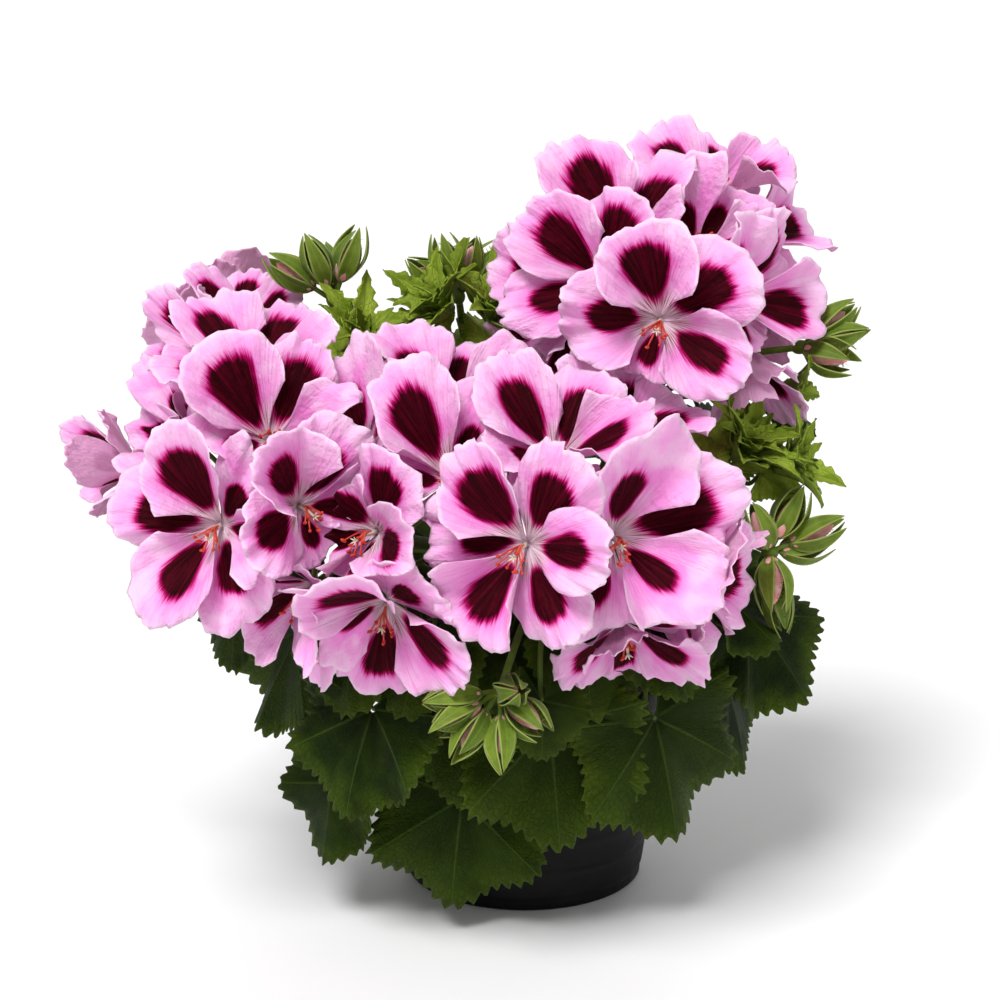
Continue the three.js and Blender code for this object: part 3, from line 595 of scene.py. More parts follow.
def petal_shrinks(bloom, petal):
    """The part of its length that a petal keeps, at five places of its edge."""
    kept = []
    outward = np.array([MIDDLE_OUTWARD, 0.7, 1])
    for across in EDGE_ROW:
        shrink = 1.0
        while shrink > SMALLEST_PETAL:
            place = petal_point(bloom, petal, np.full(3, across), outward, shrink)
            if fits(bloom, bloom_point(bloom, *place)).all():
                break
            shrink -= SHRINK_STEP
        kept.append(max(shrink, SMALLEST_PETAL))
    return np.array(kept)


# A petal as it looks: its points, its thickness, and its form in shares of its length
BLADE_ACROSS = 43
BLADE_OUTWARD = 16
FINE_PETAL = 0.35
REACH_PAST_DIVIDE = 1.14
OVERLAP_OUT = 0.22
OVERLAP_IN = 0.34
WIDEST = 1.25
THROAT_RADIUS = 0.3
THROAT_DEPTH = 2.2
FULL_RUFFLE_FROM = 0.9
CURBED_RUFFLE = 0.55
FLUTE = 0.105
CRINKLE = 0.036
PUCKER = 0.007
EDGE_ROLL = 0.06
RAGGED = 0.013
FOLD_FROM = 0.35
FOLD_OVER = 0.04, 0.3
FOLD_UNDER = -0.04
SWAY = 4.5
UPPER_BLOTCH = 0.98
LOWER_BLOTCH = 0.82


def wide_petal(bloom, petal, across, outward, shrink):
    """A petal as it looks: broader than the solid's, with flutes, a crinkled edge and folded flanks."""
    stretch = 1 + (OVERLAP_OUT + (OVERLAP_IN - OVERLAP_OUT) * (1 - outward)) * np.abs(across) ** 0.5
    solid_across = np.clip(across * stretch, -WIDEST, WIDEST)
    radius, angle, height = petal_point(bloom, petal, solid_across, outward, shrink)
    inner = (1 - outward) ** 3
    radius = radius - (HEART_RADIUS - THROAT_RADIUS) * inner
    height = height - THROAT_DEPTH * inner
    seed = bloom.index * 17 + petal * 5
    full = np.where(shrink > FULL_RUFFLE_FROM, 1.0, CURBED_RUFFLE) * (0.75 + 0.5 * chance(seed + 9))
    deep = full * bloom.length
    turn = across * 3.1 + phase(seed + 1)
    flutes = np.sin(turn) * 0.6 + np.sin(2.1 * turn + phase(seed + 2)) * (0.25 + 0.45 * np.abs(across))
    crinkle = np.sin(across * 17 + phase(seed + 3)) + 0.7 * np.sin(across * 31 + phase(seed + 4))
    flank = np.clip((np.abs(across) - FOLD_FROM) / (1 - FOLD_FROM), 0, 1) ** 2
    fold_over = FOLD_OVER[0] + FOLD_OVER[1] * chance(seed + 5) ** 1.5
    fold = np.where(side_above(bloom, petal, across) > 0, fold_over, FOLD_UNDER)
    height = height + deep * (
        FLUTE * flutes * outward**2.5 + CRINKLE * crinkle * outward**5 + fold * flank * outward**1.5)
    height = height + PUCKER * bloom.length * np.sin(across * 11 + seed) * np.sin(np.pi * outward) ** 0.7
    height = height - deep * EDGE_ROLL * outward**12 * (0.5 + 0.5 * np.sin(across * 4 + seed))
    sway = np.cos(turn) * SWAY * full * outward**3
    ragged = np.sin(across * 23 + seed) + 0.6 * np.sin(across * 47 + 3 * seed)
    radius = radius * (1 + RAGGED * full * ragged * outward**8)
    return bloom_point(bloom, radius, angle + sway, height), radius, angle


def make_bloom(bloom, material):
    """The petals of a bloom, in place of its plain solid."""
    builder = Builder()
    rows = np.linspace(0, 1, BLADE_OUTWARD) ** 0.8
    across, outward = np.meshgrid(np.linspace(-1, 1, BLADE_ACROSS), rows)
    for petal, turn in enumerate(bloom.turns):
        shrinks = petal_shrinks(bloom, petal)
        shrink = np.minimum(REACH_PAST_DIVIDE * eased(EDGE_ROW, shrinks, across), 1)
        grid, radius, angle = wide_petal(bloom, petal, across, outward, shrink)
        away = np.radians(angle - turn)
        length = bloom.length * max(shrinks[2], 0.6)
        seed = bloom.index * 7 + petal
        upper = math.sin(math.radians(turn)) > 0.5
        blotch = (UPPER_BLOTCH if upper else LOWER_BLOTCH) * (1 + 0.12 * swing(seed + 60))
        local = rows_of(radius * np.sin(away) / length, radius * np.cos(away) / length, chance(seed))
        add_sheet(builder, grid, FINE_PETAL, bloom.out, petal=local, mark=rows_of(blotch, 1, outward))
    obj = builder.object("petals_" + bloom.name, material)
    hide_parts("bloom_" + bloom.name)


# The heart of a bloom, in millimetres
STAMENS = 7
STAMEN_LENGTH = 11
STAMEN_SPREAD = 0.42, 0.3
ANTHER_LENGTH = 2.6
ANTHER_RADIUS = 0.6
STIGMA_LOBES = 5
STIGMA_LENGTH = 2.2
CALYX_LOBES = 5
CALYX_REACH = 9
CALYX_WIDTH = 1.5
CALYX_SEAT = 2.4
CALYX_THICKNESS = 0.35
CALYX_GRID = 9, 5


def add_stamens(builder, bloom):
    """A bundle of filaments that leave the heart and bend down, each with its anther."""
    side, up, out, centre = bloom.side, bloom.up, bloom.out, bloom.centre
    for i in range(STAMENS):
        seed = bloom.index * 31 + i
        turn = i * 2 * math.pi / STAMENS + bloom.index
        lean, rise = STAMEN_SPREAD[0] * math.cos(turn), STAMEN_SPREAD[1] * math.sin(turn)
        length = (STAMEN_LENGTH + 3 * swing(seed)) * min(bloom.size, 1)
        away = unit(out + lean * side + (rise - 0.25) * up)
        tip = centre + away * length - up * (1.5 + 1.5 * chance(seed + 3))
        middle = centre + out * length * 0.5 + 0.3 * length * 0.5 * (away - out)
        path = curve([centre + 0.4 * out, middle, tip], 7)
        add_tube(builder, path, np.linspace(0.38, 0.26, 7), 6, tint=(0, 0, chance(seed)))
        axis = away + 0.8 * side * swing(seed + 5) + 0.4 * up
        add_ball(builder, tip, axis, ANTHER_LENGTH, ANTHER_RADIUS, tint=(1, 0, chance(seed)))
    style = curve([centre - out, centre + 4 * out - up, centre + 8.5 * out - 3 * up], 6)
    add_tube(builder, style, np.linspace(0.9, 0.45, 6), 6, tint=(0, 1, 0.5))
    for i in range(STIGMA_LOBES):
        turn = 2 * math.pi * i / STIGMA_LOBES
        lobe = unit(out + 0.9 * spoke(side, up, turn))
        path = curve([style[-1], style[-1] + lobe * STIGMA_LENGTH], 3)
        add_tube(builder, path, [0.35, 0.3, 0.1], 5, tint=(0, 1, 0.5))


def add_leaflet(builder, start, tip, up, width, bow, counts, thickness, **attributes):
    """A pointed, bowed leaflet, cupped across its width."""

    def form(v, u, length):
        half = width * (np.sin(np.pi * v**0.75) ** 0.8 * 0.9 + 0.1 * (1 - v)) + 0.05
        height = bow * length * np.sin(np.pi * v) + 0.25 * half * u**2
        return half, height, {"mark": rows_of(u, 1, v)}

    add_blade(builder, start, tip, up, counts, thickness, form, **attributes)


def add_calyx(builder, bloom):
    """The five green sepals behind a bloom."""
    base = bloom.centre - bloom.out * CALYX_SEAT
    for i in range(CALYX_LOBES):
        turn = math.radians(360 / CALYX_LOBES * i + 36 * chance(bloom.index))
        away = spoke(bloom.side, bloom.up, turn)
        tip = base + away * CALYX_REACH - bloom.out * (2.5 + 2 * chance(bloom.index * 5 + i))
        add_leaflet(builder, base + away * 1.2, tip, -bloom.out, CALYX_WIDTH, 0.05, CALYX_GRID,
                    CALYX_THICKNESS, tint=(0.35, 0, chance(i)))


# Leaves: points, thickness and teeth by style, then shares of a leaf's reach
LEAF_SPREAD = 152
LOBES = {"large": 7, "small": 5}
TEETH = {"large": 47, "small": 31}
BLADE_TURNS = {"large": 197, "small": 129}
BLADE_RINGS = {"large": 8, "small": 7}
FINE_LEAF = 0.4
ROUNDNESS = 0.2
LOBE_DEPTH = 0.06
TOOTH_DEPTH = 0.04
TOOTH_LIFT = 0.012
LOBE_WAVE = 0.05
SLOW_WAVE = 0.06
QUICK_WAVE = 0.035
PLEAT = 0.06
TIP_DROOP = 0.2
TWIST = 0.12
CUPPING = 0.1
STALK_NECK = 9
YOUNG_SHOOTS = "young", "top_left", "top_middle"
# A leaf stalk that hangs out of the pot passes this far past and above its rim
RIM_PASS = 7
RIM_CREST = 8


def read_leaf(name, row, index):
    x, y, z, azimuth, pitch, roll, reach, place, style = row
    side, up, out = facing(azimuth, pitch + 90, roll)
    return SimpleNamespace(
        centre=np.array([x, y, z], float),
        side=-side,
        up=-up,
        out=out,
        root=curve_point(STEMS[name], place),
        reach=reach,
        style=style,
        seed=900 + 31 * index + x,
        young=float(name in YOUNG_SHOOTS),
    )


def petiole_route(leaf):
    """The points of a leaf's stalk, over the pot's rim where the leaf hangs beside the pot."""
    start, joint = leaf.root, leaf.centre
    arrive = joint - leaf.up * 4 - leaf.out * 4
    rise = (start + arrive) / 2
    crest = POT_HEIGHT + RIM_CREST
    if arrive[2] > crest:
        rise[2] = (max(start[2], arrive[2]) + rise[2]) / 2 + 3
        return [start, rise, arrive, joint]
    reach = max(math.hypot(arrive[0], arrive[1]), POT_TOP_RADIUS + RIM_PASS)
    rise[2] = crest + 6
    return [start, rise, np.array([*unit(arrive[:2]) * reach, crest]), arrive, joint]


def triangle_wave(x):
    return 2 * np.abs(2 * (x - np.floor(x + 0.5))) - 1


def add_leaf(blades, stalks, leaf):
    """A palmate blade with pleats between its veins and fine teeth, and its stalk."""
    reach, seed = leaf.reach, leaf.seed
    turn, s = np.meshgrid(
        np.linspace(-LEAF_SPREAD, LEAF_SPREAD, BLADE_TURNS[leaf.style]),
        np.linspace(0.03, 1, BLADE_RINGS[leaf.style]))
    spacing = 2 * LEAF_SPREAD / (LOBES[leaf.style] - 1)
    a = np.radians(turn)
    lobe = np.cos(np.radians(turn * 360 / spacing))
    slow = np.sin(a * 3.1 + seed)
    tooth = triangle_wave(turn * TEETH[leaf.style] / (2 * LEAF_SPREAD) + 0.25 + 0.3 * slow)
    tooth = np.sign(tooth) * np.abs(tooth) ** 0.8 * (1 + 0.45 * np.sin(turn * 0.9 + seed))
    edge = 1 - ROUNDNESS + ROUNDNESS * np.cos(a) + LOBE_DEPTH * lobe
    radius = reach * (edge * s + TOOTH_DEPTH * tooth * s**7)
    height = radius**2 / reach * (
        LOBE_WAVE * lobe
        - TIP_DROOP * np.cos(a) ** 2
        + TWIST * swing(seed) * np.sin(2 * a)
        + CUPPING * swing(seed + 1)
    )
    height = height + reach * (
        s**2 * (SLOW_WAVE * np.sin(a * 4 + seed) + QUICK_WAVE * np.sin(a * 9 + 2 * seed))
        - PLEAT * s * np.abs(np.sin(np.radians(turn * 180 / spacing))) ** 0.7
        + TOOTH_LIFT * s**6 * tooth
    )
    grid = placed(leaf, radius * np.sin(a), radius * np.cos(a), height)
    local = rows_of(turn / spacing, radius / reach, chance(seed))
    add_sheet(blades, grid, FINE_LEAF, leaf.out, leaf=local, mark=rows_of(leaf.young, 1, s))
    path = curve(petiole_route(leaf), 22)
    add_tube(stalks, path, np.linspace(PETIOLE_RADIUS, 0.75, 22), 8, tint=(0.3, 0, chance(seed)))


# Buds
SEPALS = 5
SEPAL_LENGTH = 20
SEPAL_BULGE = 4
SEPAL_THICKNESS = 0.4
SEPAL_GRID = 13, 7
HAIRS = 9
HAIR_LENGTH = 1.5
HAIR_RADII = 0.11, 0.05


def add_bud(buds, knob, tip, seed):
    """A stalked bud: long pointed sepals that part over folded petals."""
    tip = np.asarray(tip, float)
    length = np.linalg.norm(tip - knob)
    along = unit(tip - knob)
    foot = tip - along * min(SEPAL_LENGTH, length - 1.5)
    if length > SEPAL_LENGTH + 1:
        add_tube(buds, curve([knob + along, foot + along], 5), 0.9, 8, tint=(0.5, 0, chance(seed)))
    opening = 0.2 + 0.8 * chance(seed + 8)
    share = np.linspace(0.02, 1, 14)
    body = foot + np.outer(share * SEPAL_LENGTH * (0.7 + 0.18 * opening), along)
    width = (0.65 + 0.35 * opening) * SEPAL_BULGE * np.sin(np.pi * share**0.75) ** 0.6
    add_tube(buds, body, np.maximum(width, 0.15), 14, tint=(0.4, 1, chance(seed)))
    side = unit(np.cross(along, [0.3, 0.2, 0.9]))
    other = np.cross(along, side)
    for i in range(SEPALS):
        away = spoke(side, other, 2 * math.pi * (i + chance(seed)) / SEPALS)
        end = foot + along * SEPAL_LENGTH * (1 + 0.1 * swing(seed + i))
        end = end + away * (0.3 + 5.5 * opening * chance(seed + 20 + i))
        add_leaflet(buds, foot + away * 0.9, end, away, 0.78 * SEPAL_BULGE, 0.16, SEPAL_GRID,
                    SEPAL_THICKNESS, tint=(0.35 + 0.4 * chance(seed + i), 0, chance(seed + i)))
        add_hairs(buds, foot, along, away, seed + i)


def add_hairs(builder, foot, along, away, seed):
    """Fine hairs that stand off a sepal's back."""
    for i in range(HAIRS):
        share = 0.1 + 0.75 * chance(seed * 9 + i)
        aside = np.cross(along, away) * swing(seed * 5 + i)
        bulge = SEPAL_BULGE * 0.95 * math.sin(math.pi * share**0.8)
        root = foot + along * SEPAL_LENGTH * share + away * bulge
        end = root + unit(away + aside + 0.5 * along) * (HAIR_LENGTH + 1.2 * chance(seed + i))
        add_tube(builder, [root - 0.4 * away, end], HAIR_RADII, 3, tint=(1, 0, 0.5))


# Shoots

def add_knob(builder, centre, axis, young):
    add_ball(builder, centre, axis, 2 * KNOB_RADIUS, KNOB_RADIUS * 0.8, 12, 8, tint=(young, 0, 0.5))


def add_pedicel(stalks, bloom):
    """A flower stalk from its head's hub, widening into the calyx under the bloom."""
    seat = bloom.centre - bloom.out * (PETAL_THICKNESS / 2 + SEAT_GAP)
    neck = seat - bloom.out * STALK_NECK
    start = bloom.hub + unit(neck - bloom.hub) * 1.2
    path = curve([start, neck, seat - 2.2 * bloom.out], 16)
    radii = np.interp(np.linspace(0, 1, 16), [0, 0.7, 1], [PEDICEL_RADIUS, PEDICEL_RADIUS, CALYX_RADIUS])
    add_tube(stalks, path, radii, 8, tint=(0.35, 0, chance(bloom.index)))


def shoot_parts(name, blooms):
    """The stalks, leaves and buds of a shoot, as three builders."""
    stalks, blades, buds = Builder(), Builder(), Builder()
    add_tube(stalks, curve(STEMS[name], 36), np.linspace(3, 2.1, 36), 14, tint=(0.1, 0, 0.5))
    for index, row in enumerate(LEAVES[name]):
        add_leaf(blades, stalks, read_leaf(name, row, index))
    if name in BUDS:
        place, knob, tips = BUDS[name]
        start, knob = curve_point(STEMS[name], place), np.array(knob, float)
        middle = (start + knob) / 2 + np.array([0, 0, 0.08 * np.linalg.norm(start - knob)])
        path = curve([start, middle, knob], 16)
        add_tube(stalks, path, np.linspace(1.4, 1.2, 16), 10, tint=(0.4, 0, 0.5))
        add_knob(stalks, knob, unit(knob - start), 0.4)
        for i, tip in enumerate(tips):
            add_bud(buds, knob, tip, 7 * i + knob[0])
    if name in HEADS:
        add_knob(stalks, hub_of(name), (0, 0, 1), 0.3)
        for bloom in blooms:
            if bloom.head == name:
                add_pedicel(stalks, bloom)
    return stalks, blades, buds


# Tufts: shares of a young leaf's length
TUFT_TURN = 2.4
TUFT_WIDTH = 0.125
TUFT_TEETH = 6
TUFT_THICKNESS = 0.4
TUFT_GRID = 25, 7


def add_young_leaf(builder, base, tip, up, width, seed):
    """A young folded leaf: a pointed blade with teeth, creased along its middle."""

    def form(v, u, length):
        tooth = triangle_wave(v * TUFT_TEETH + 0.2 * swing(seed))
        half = width * (np.sin(np.pi * v**0.72) ** 0.9 * (1 + 0.3 * tooth * np.abs(u) ** 4) * 0.95 + 0.03)
        bow = (0.12 + 0.12 * swing(seed + 1)) * length * np.sin(np.pi * v * 0.9)
        height = bow + 0.6 * half * np.abs(u) ** 1.2 + 0.03 * length * np.sin(5 * v + seed) * u
        local = rows_of(u * 0.45, 0.15 + 0.8 * v, chance(seed))
        return half, height, {"leaf": local, "mark": rows_of(young, 1, np.abs(u) * 0.95)}

    young = 0.75 + 0.25 * chance(seed + 2)
    add_blade(builder, base, tip, up, TUFT_GRID, TUFT_THICKNESS, form)


def make_tuft(name, foot, towards, count, reach, material):
    """A cluster of young leaves that open from a shoot's side."""
    builder = Builder()
    foot = np.array(foot, float)
    axis = unit(np.array(towards, float))
    side = unit(np.cross(axis, [0.2, 0.9, 0.1]))
    other = np.cross(axis, side)
    for i in range(count):
        away = spoke(side, other, TUFT_TURN * i)
        way = unit(axis + (0.25 + 1.15 * (i / count) ** 0.8) * away)
        length = reach * (0.55 + 0.45 * (i / count) + 0.15 * swing(i + reach))
        add_young_leaf(builder, foot + way * 1.5, foot + way * length, axis - 0.4 * away,
                       TUFT_WIDTH * length + 1, i + reach)
    builder.object("tuft_" + name, material)


# Pot, compost and crown

POT_SIDES = 120
RIDGE_DEPTH = 0.45
RIDGE_EVERY = 11
COMPOST_SIDES = 160
COMPOST_RINGS = 60
COMPOST_CROWN = 2.5
GRAINS = 90
DRILL_SIDES = 24
BARK_POINTS = 40
BARK_SIDES = 36


def add_lathe(builder, profile, sides, wobble=None):
    """A closed body turned round the Z axis from a profile of radii and heights."""
    profile = np.asarray(profile, float)
    turn = np.linspace(0, 2 * np.pi, sides, endpoint=False)
    rings = rows_of(profile[:, :1] * np.cos(turn), profile[:, :1] * np.sin(turn), profile[:, 1:])
    if wobble is not None:
        wobble(rings)
    last = (len(profile) - 1) * sides
    ends = [tuple(range(sides - 1, -1, -1)), tuple(range(last, last + sides))]
    builder.add(rings, grid_faces(len(profile), sides, closed=True) + ends)


def drill_holes(pot, material):
    drills = Builder()
    reach = POT_BASE_RADIUS - 3 * DRAIN_RADIUS
    for i in range(DRAIN_HOLES):
        turn = 2 * math.pi * (i + 0.5) / DRAIN_HOLES
        x, y = reach * math.cos(turn), reach * math.sin(turn)
        add_tube(drills, [(x, y, z) for z in (-4, 0, 6)], DRAIN_RADIUS, DRILL_SIDES)
    drill = drills.object("drills", material)
    cut = pot.modifiers.new("holes", "BOOLEAN")
    cut.operation = "DIFFERENCE"
    cut.solver = "EXACT"
    cut.object = drill
    bpy.context.view_layer.update()
    solid = bpy.data.meshes.new_from_object(pot.evaluated_get(bpy.context.evaluated_depsgraph_get()))
    pot.modifiers.clear()
    pot.data = solid
    bpy.data.objects.remove(drill)


def outer_radius(z):
    return POT_BASE_RADIUS + (POT_TOP_RADIUS - POT_BASE_RADIUS) * z / POT_HEIGHT


def inner_radius(z):
    slope = (POT_TOP_RADIUS - POT_BASE_RADIUS) * (z - POT_FLOOR) / (POT_HEIGHT - POT_FLOOR)
    return POT_BASE_RADIUS - POT_WALL + slope - 2 * SEAT_GAP


def make_pot(material):
    lip = POT_HEIGHT - LIP_HEIGHT
    profile = [(1, 0), (POT_BASE_RADIUS - 5, 0), (POT_BASE_RADIUS - 0.8, 0), (POT_BASE_RADIUS, 0.8)]
    for z in np.arange(3, lip - 1, 1.0):
        ridge = RIDGE_DEPTH if int(z) % RIDGE_EVERY in (3, 4) else 0
        profile.append((outer_radius(z) - LIP_STEP / 2 * z / lip - ridge, z))
    profile += [
        (outer_radius(lip) - LIP_STEP / 2, lip),
        (outer_radius(lip) + LIP_STEP / 2 - 0.3, lip + 0.5),
        (outer_radius(lip) + LIP_STEP / 2 + 0.3, lip + 1.4),
        (POT_TOP_RADIUS + LIP_STEP - 0.2, POT_HEIGHT - 1.2),
        (POT_TOP_RADIUS + LIP_STEP - 0.7, POT_HEIGHT),
        (POT_TOP_RADIUS - POT_WALL + 0.4, POT_HEIGHT),
        (POT_TOP_RADIUS - POT_WALL, POT_HEIGHT - 1),
        (POT_BASE_RADIUS - POT_WALL, POT_FLOOR + 1),
        (POT_BASE_RADIUS - POT_WALL - 1, POT_FLOOR),
        (1, POT_FLOOR),
    ]
    builder = Builder()
    add_lathe(builder, profile, POT_SIDES)
    pot = builder.object("pot_shell", material)
    drill_holes(pot, material)
    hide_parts("pot")


def bumps(points, size, seed):
    """A soft random field over points, between about -1 and 1."""
    total = np.zeros(points.shape[:-1])
    for i in range(6):
        way = np.array([swing(seed + 3 * i + k) for k in range(3)])
        wave = points @ way * (2 * np.pi / size) * (1 + 0.7 * i)
        total += np.sin(wave + 7 * chance(seed + i)) / (1 + 0.5 * i)
    return total / 2


def add_lumps(rings):
    """Heaps and crumbs on the compost's top, above the three rings of its side."""
    top = rings[3:]
    top[..., 2] += 0.9 * bumps(top, 9, 5) + 0.7 * bumps(top, 3.4, 80)


def make_compost(material, perlite):
    edge = inner_radius(COMPOST_TOP - 2)
    floor = POT_FLOOR + SEAT_GAP
    profile = [(1, floor), (inner_radius(POT_FLOOR), floor), (edge, COMPOST_TOP - 3)]
    for t in np.linspace(0.02, 0.985, COMPOST_RINGS):
        profile.append((edge * (1 - t), COMPOST_TOP - 2 + COMPOST_CROWN * t))
    builder = Builder()
    add_lathe(builder, profile, COMPOST_SIDES, add_lumps)
    compost = builder.object("compost_fill", material)
    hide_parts("compost")
    grains = Builder()
    for i in range(GRAINS):
        reach = edge * math.sqrt(chance(i + 500)) * 0.96
        turn = 2 * math.pi * chance(i + 700)
        size = 0.8 + 1.1 * chance(i + 900)
        height = COMPOST_TOP - 1.6 + 2.3 * (1 - reach / edge)
        centre = (reach * math.cos(turn), reach * math.sin(turn), height)
        axis = (swing(i), swing(i + 50), swing(i + 99))
        add_ball(grains, centre, axis, 1.6 * size, 0.7 * size, 7, 5, tint=(i % 3 == 0, 0, chance(i)))
    grains.object("compost_grains", perlite, smooth=False)


def make_crown(material):
    path = curve([(0, 0, CROWN_FOOT), (1, -1, COMPOST_TOP), (-1, 1, CROWN_TOP)], BARK_POINTS)
    radii = np.interp(np.linspace(0, 1, BARK_POINTS), [0, 0.45, 0.72, 0.9, 1],
                      [5, CROWN_RADIUS - 1.5, CROWN_RADIUS, CROWN_RADIUS, 5.5])
    builder = Builder()
    add_tube(builder, path, radii, BARK_SIDES)
    points = builder.points[0]
    away = points * [1, 1, 0]
    away = away / np.maximum(np.linalg.norm(away, axis=1, keepdims=True), 1e-6)
    bark = 0.5 + 0.6 * bumps(points * [1, 1, 0.35], 5, 31)
    builder.points[0] = points - away * bark[:, None]
    crown = builder.object("crown_bark", material)
    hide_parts("woody_crown")


# Materials

class Value:
    """A value in a material's graph. Arithmetic on it adds maths nodes."""

    def __init__(self, graph, socket):
        self.graph = graph
        self.socket = socket

    def math(self, operation, *others):
        return self.graph.node("Math", self, *others, operation=operation)

    def __add__(self, other):
        return self.math("ADD", other)

    def __sub__(self, other):
        return self.math("SUBTRACT", other)

    def __mul__(self, other):
        return self.math("MULTIPLY", other)

    def __truediv__(self, other):
        return self.math("DIVIDE", other)

    def __pow__(self, other):
        return self.math("POWER", other)

    def step(self, low, high, start=0, end=1):
        """A soft step from start to end as the value goes from low to high."""
        return self.graph.node("MapRange", self, low, high, start, end, interpolation_type="SMOOTHSTEP")

    def bump(self, strength, distance):
        return self.graph.node("Bump", strength, distance, None, self)


class Graph:
    """A material's nodes. A tuple of three numbers is a colour or a vector."""

    def __init__(self, name):
        self.material = bpy.data.materials.new(name)
        self.material.use_nodes = True
        tree = self.material.node_tree
        self.nodes, self.links = tree.nodes, tree.links
        self.nodes.clear()
        self.output = self.nodes.new("ShaderNodeOutputMaterial")

    def give(self, socket, value):
        if isinstance(value, Value):
            self.links.new(value.socket, socket)
        elif socket.type == "RGBA" and value is not None:
            socket.default_value = (*value, 1)
        elif value is not None:
            socket.default_value = value

    def node(self, kind, *values, out=0, **settings):
        node = self.nodes.new("ShaderNode" + kind)
        for key, setting in settings.items():
            setattr(node, key, setting)
        for socket, value in zip(node.inputs, values):
            self.give(socket, value)
        return Value(self, node.outputs[out])

    def attribute(self, name):
        """The three numbers that a mesh keeps under a name for each of its points."""
        vector = self.node("Attribute", attribute_name=name, out=1)
        return [self.node("SeparateXYZ", vector, out=i) for i in range(3)]

    def place(self, scale=None):
        """A point's place on its object, in metres times a scale for each axis."""
        place = self.node("TexCoord", out=3)
        return self.node("Mapping", place, None, None, scale) if scale else place

    def noise(self, place, scale, detail=2, roughness=0.5):
        """Noise at a place, given as a vector or as its three numbers."""
        if isinstance(place, tuple):
            place = self.node("CombineXYZ", *place)
        return self.node("TexNoise", place, None, scale, detail, roughness)

    def paint(self, colour, *layers):
        """A colour with others painted over it in turn, each by its own share."""
        for share, over in layers:
            # Inputs 6 and 7 of this node are its two colours
            colour = self.node("Mix", share, *[None] * 5, colour, over, out=2, data_type="RGBA")
        return colour

    def surface(self, colour, roughness, normal=None, translucent=0, glow=None, **values):
        """A principled surface, some of whose light passes through where it is thin."""
        shader = self.nodes.new("ShaderNodeBsdfPrincipled")
        values.update(Base_Color=colour, Roughness=roughness, Normal=normal)
        for key, value in values.items():
            self.give(shader.inputs[key.replace("_", " ")], value)
        result = Value(self, shader.outputs[0])
        if translucent:
            through = self.node("BsdfTranslucent", glow or colour)
            result = self.node("MixShader", translucent, result, through)
        self.give(self.output.inputs[0], result)
        return self.material


def petal_material():
    g = Graph("petal")
    u, v, seed = g.attribute("petal")
    size, front, outward = g.attribute("mark")
    front = front.step(0.1, 0.9)
    shift = seed * 37
    turn = u.math("ARCTAN2", v)
    radial = (u * u + v * v).math("SQRT")
    streak = g.noise((turn * 16, radial * 2, shift), 1, 3, 0.6)
    fine = g.noise((turn * 60, radial * 4, shift), 1)
    broad = g.noise((u * 3, v * 3, shift), 1, 1)

    # The dark blotch, narrow near the heart and feathered along the veins
    wide = (v * 0.95 + 0.22) * 0.31 * size
    tall = size * 0.12 + 0.17
    far = ((u / wide) ** 2 + ((v - 0.475) / tall) ** 2).math("SQRT")
    far = far + (streak - 0.5) * 0.42 + (fine - 0.5) * 0.32 + (broad - 0.5) * 0.45
    edges = (0.84, 0.98), (0.96, 1.07), (1.02, 1.22), (1, 1.7)
    dark, rim, halo, glow = [far.step(low, high, 1, 0) * front for low, high in edges]

    # Lines that run from the heart into the blotch, and paler ones beyond it
    line = g.noise((turn * 30, radial, shift), 1, 1).step(0.5, 0.58) * radial.step(0.06, 0.2)
    throat = radial.step(0.16, 0.38, 1, 0) * front
    veins = g.noise((turn * 34, radial * 1.5, shift), 1).step(0.5, 0.66) * radial.step(0.6, 1, 1, 0.1)

    deep = g.paint((0.026, 0, 0.002), (streak.step(0.35, 0.75), (0.095, 0, 0.01)))
    face = g.paint(
        (0.96, 0.32, 0.77),
        (outward.step(0.5, 0.97), (0.98, 0.5, 0.85)),
        (broad.step(0.4, 0.68, 0, 0.65), (0.99, 0.72, 0.93)),
        (glow * 0.42, (0.9, 0.2, 0.68)),
        (outward.step(0.93, 1, 0, 0.6), (1, 0.84, 0.95)),
        (veins * 0.22, (0.78, 0.14, 0.5)),
        (throat * 0.8, (0.9, 0.78, 0.8)),
        (halo * 0.75, (0.72, 0.02, 0.32)),
        (rim, (0.42, 0, 0.1)),
        (line * throat * 0.9, (0.26, 0, 0.035)),
        (dark, deep),
    )
    colour = g.paint((0.9, 0.52, 0.76), (far.step(0.8, 1.25, 0.35, 0), (0.5, 0.07, 0.28)), (front, face))
    crumple = g.noise((u * 1.6, v, shift), 9, 3, 0.6)
    relief = fine * 0.35 + veins * 0.3 + crumple * 1.8
    return g.surface(colour, 0.6, relief.bump(0.5, 0.0014), translucent=0.2, Specular_IOR_Level=0.06)


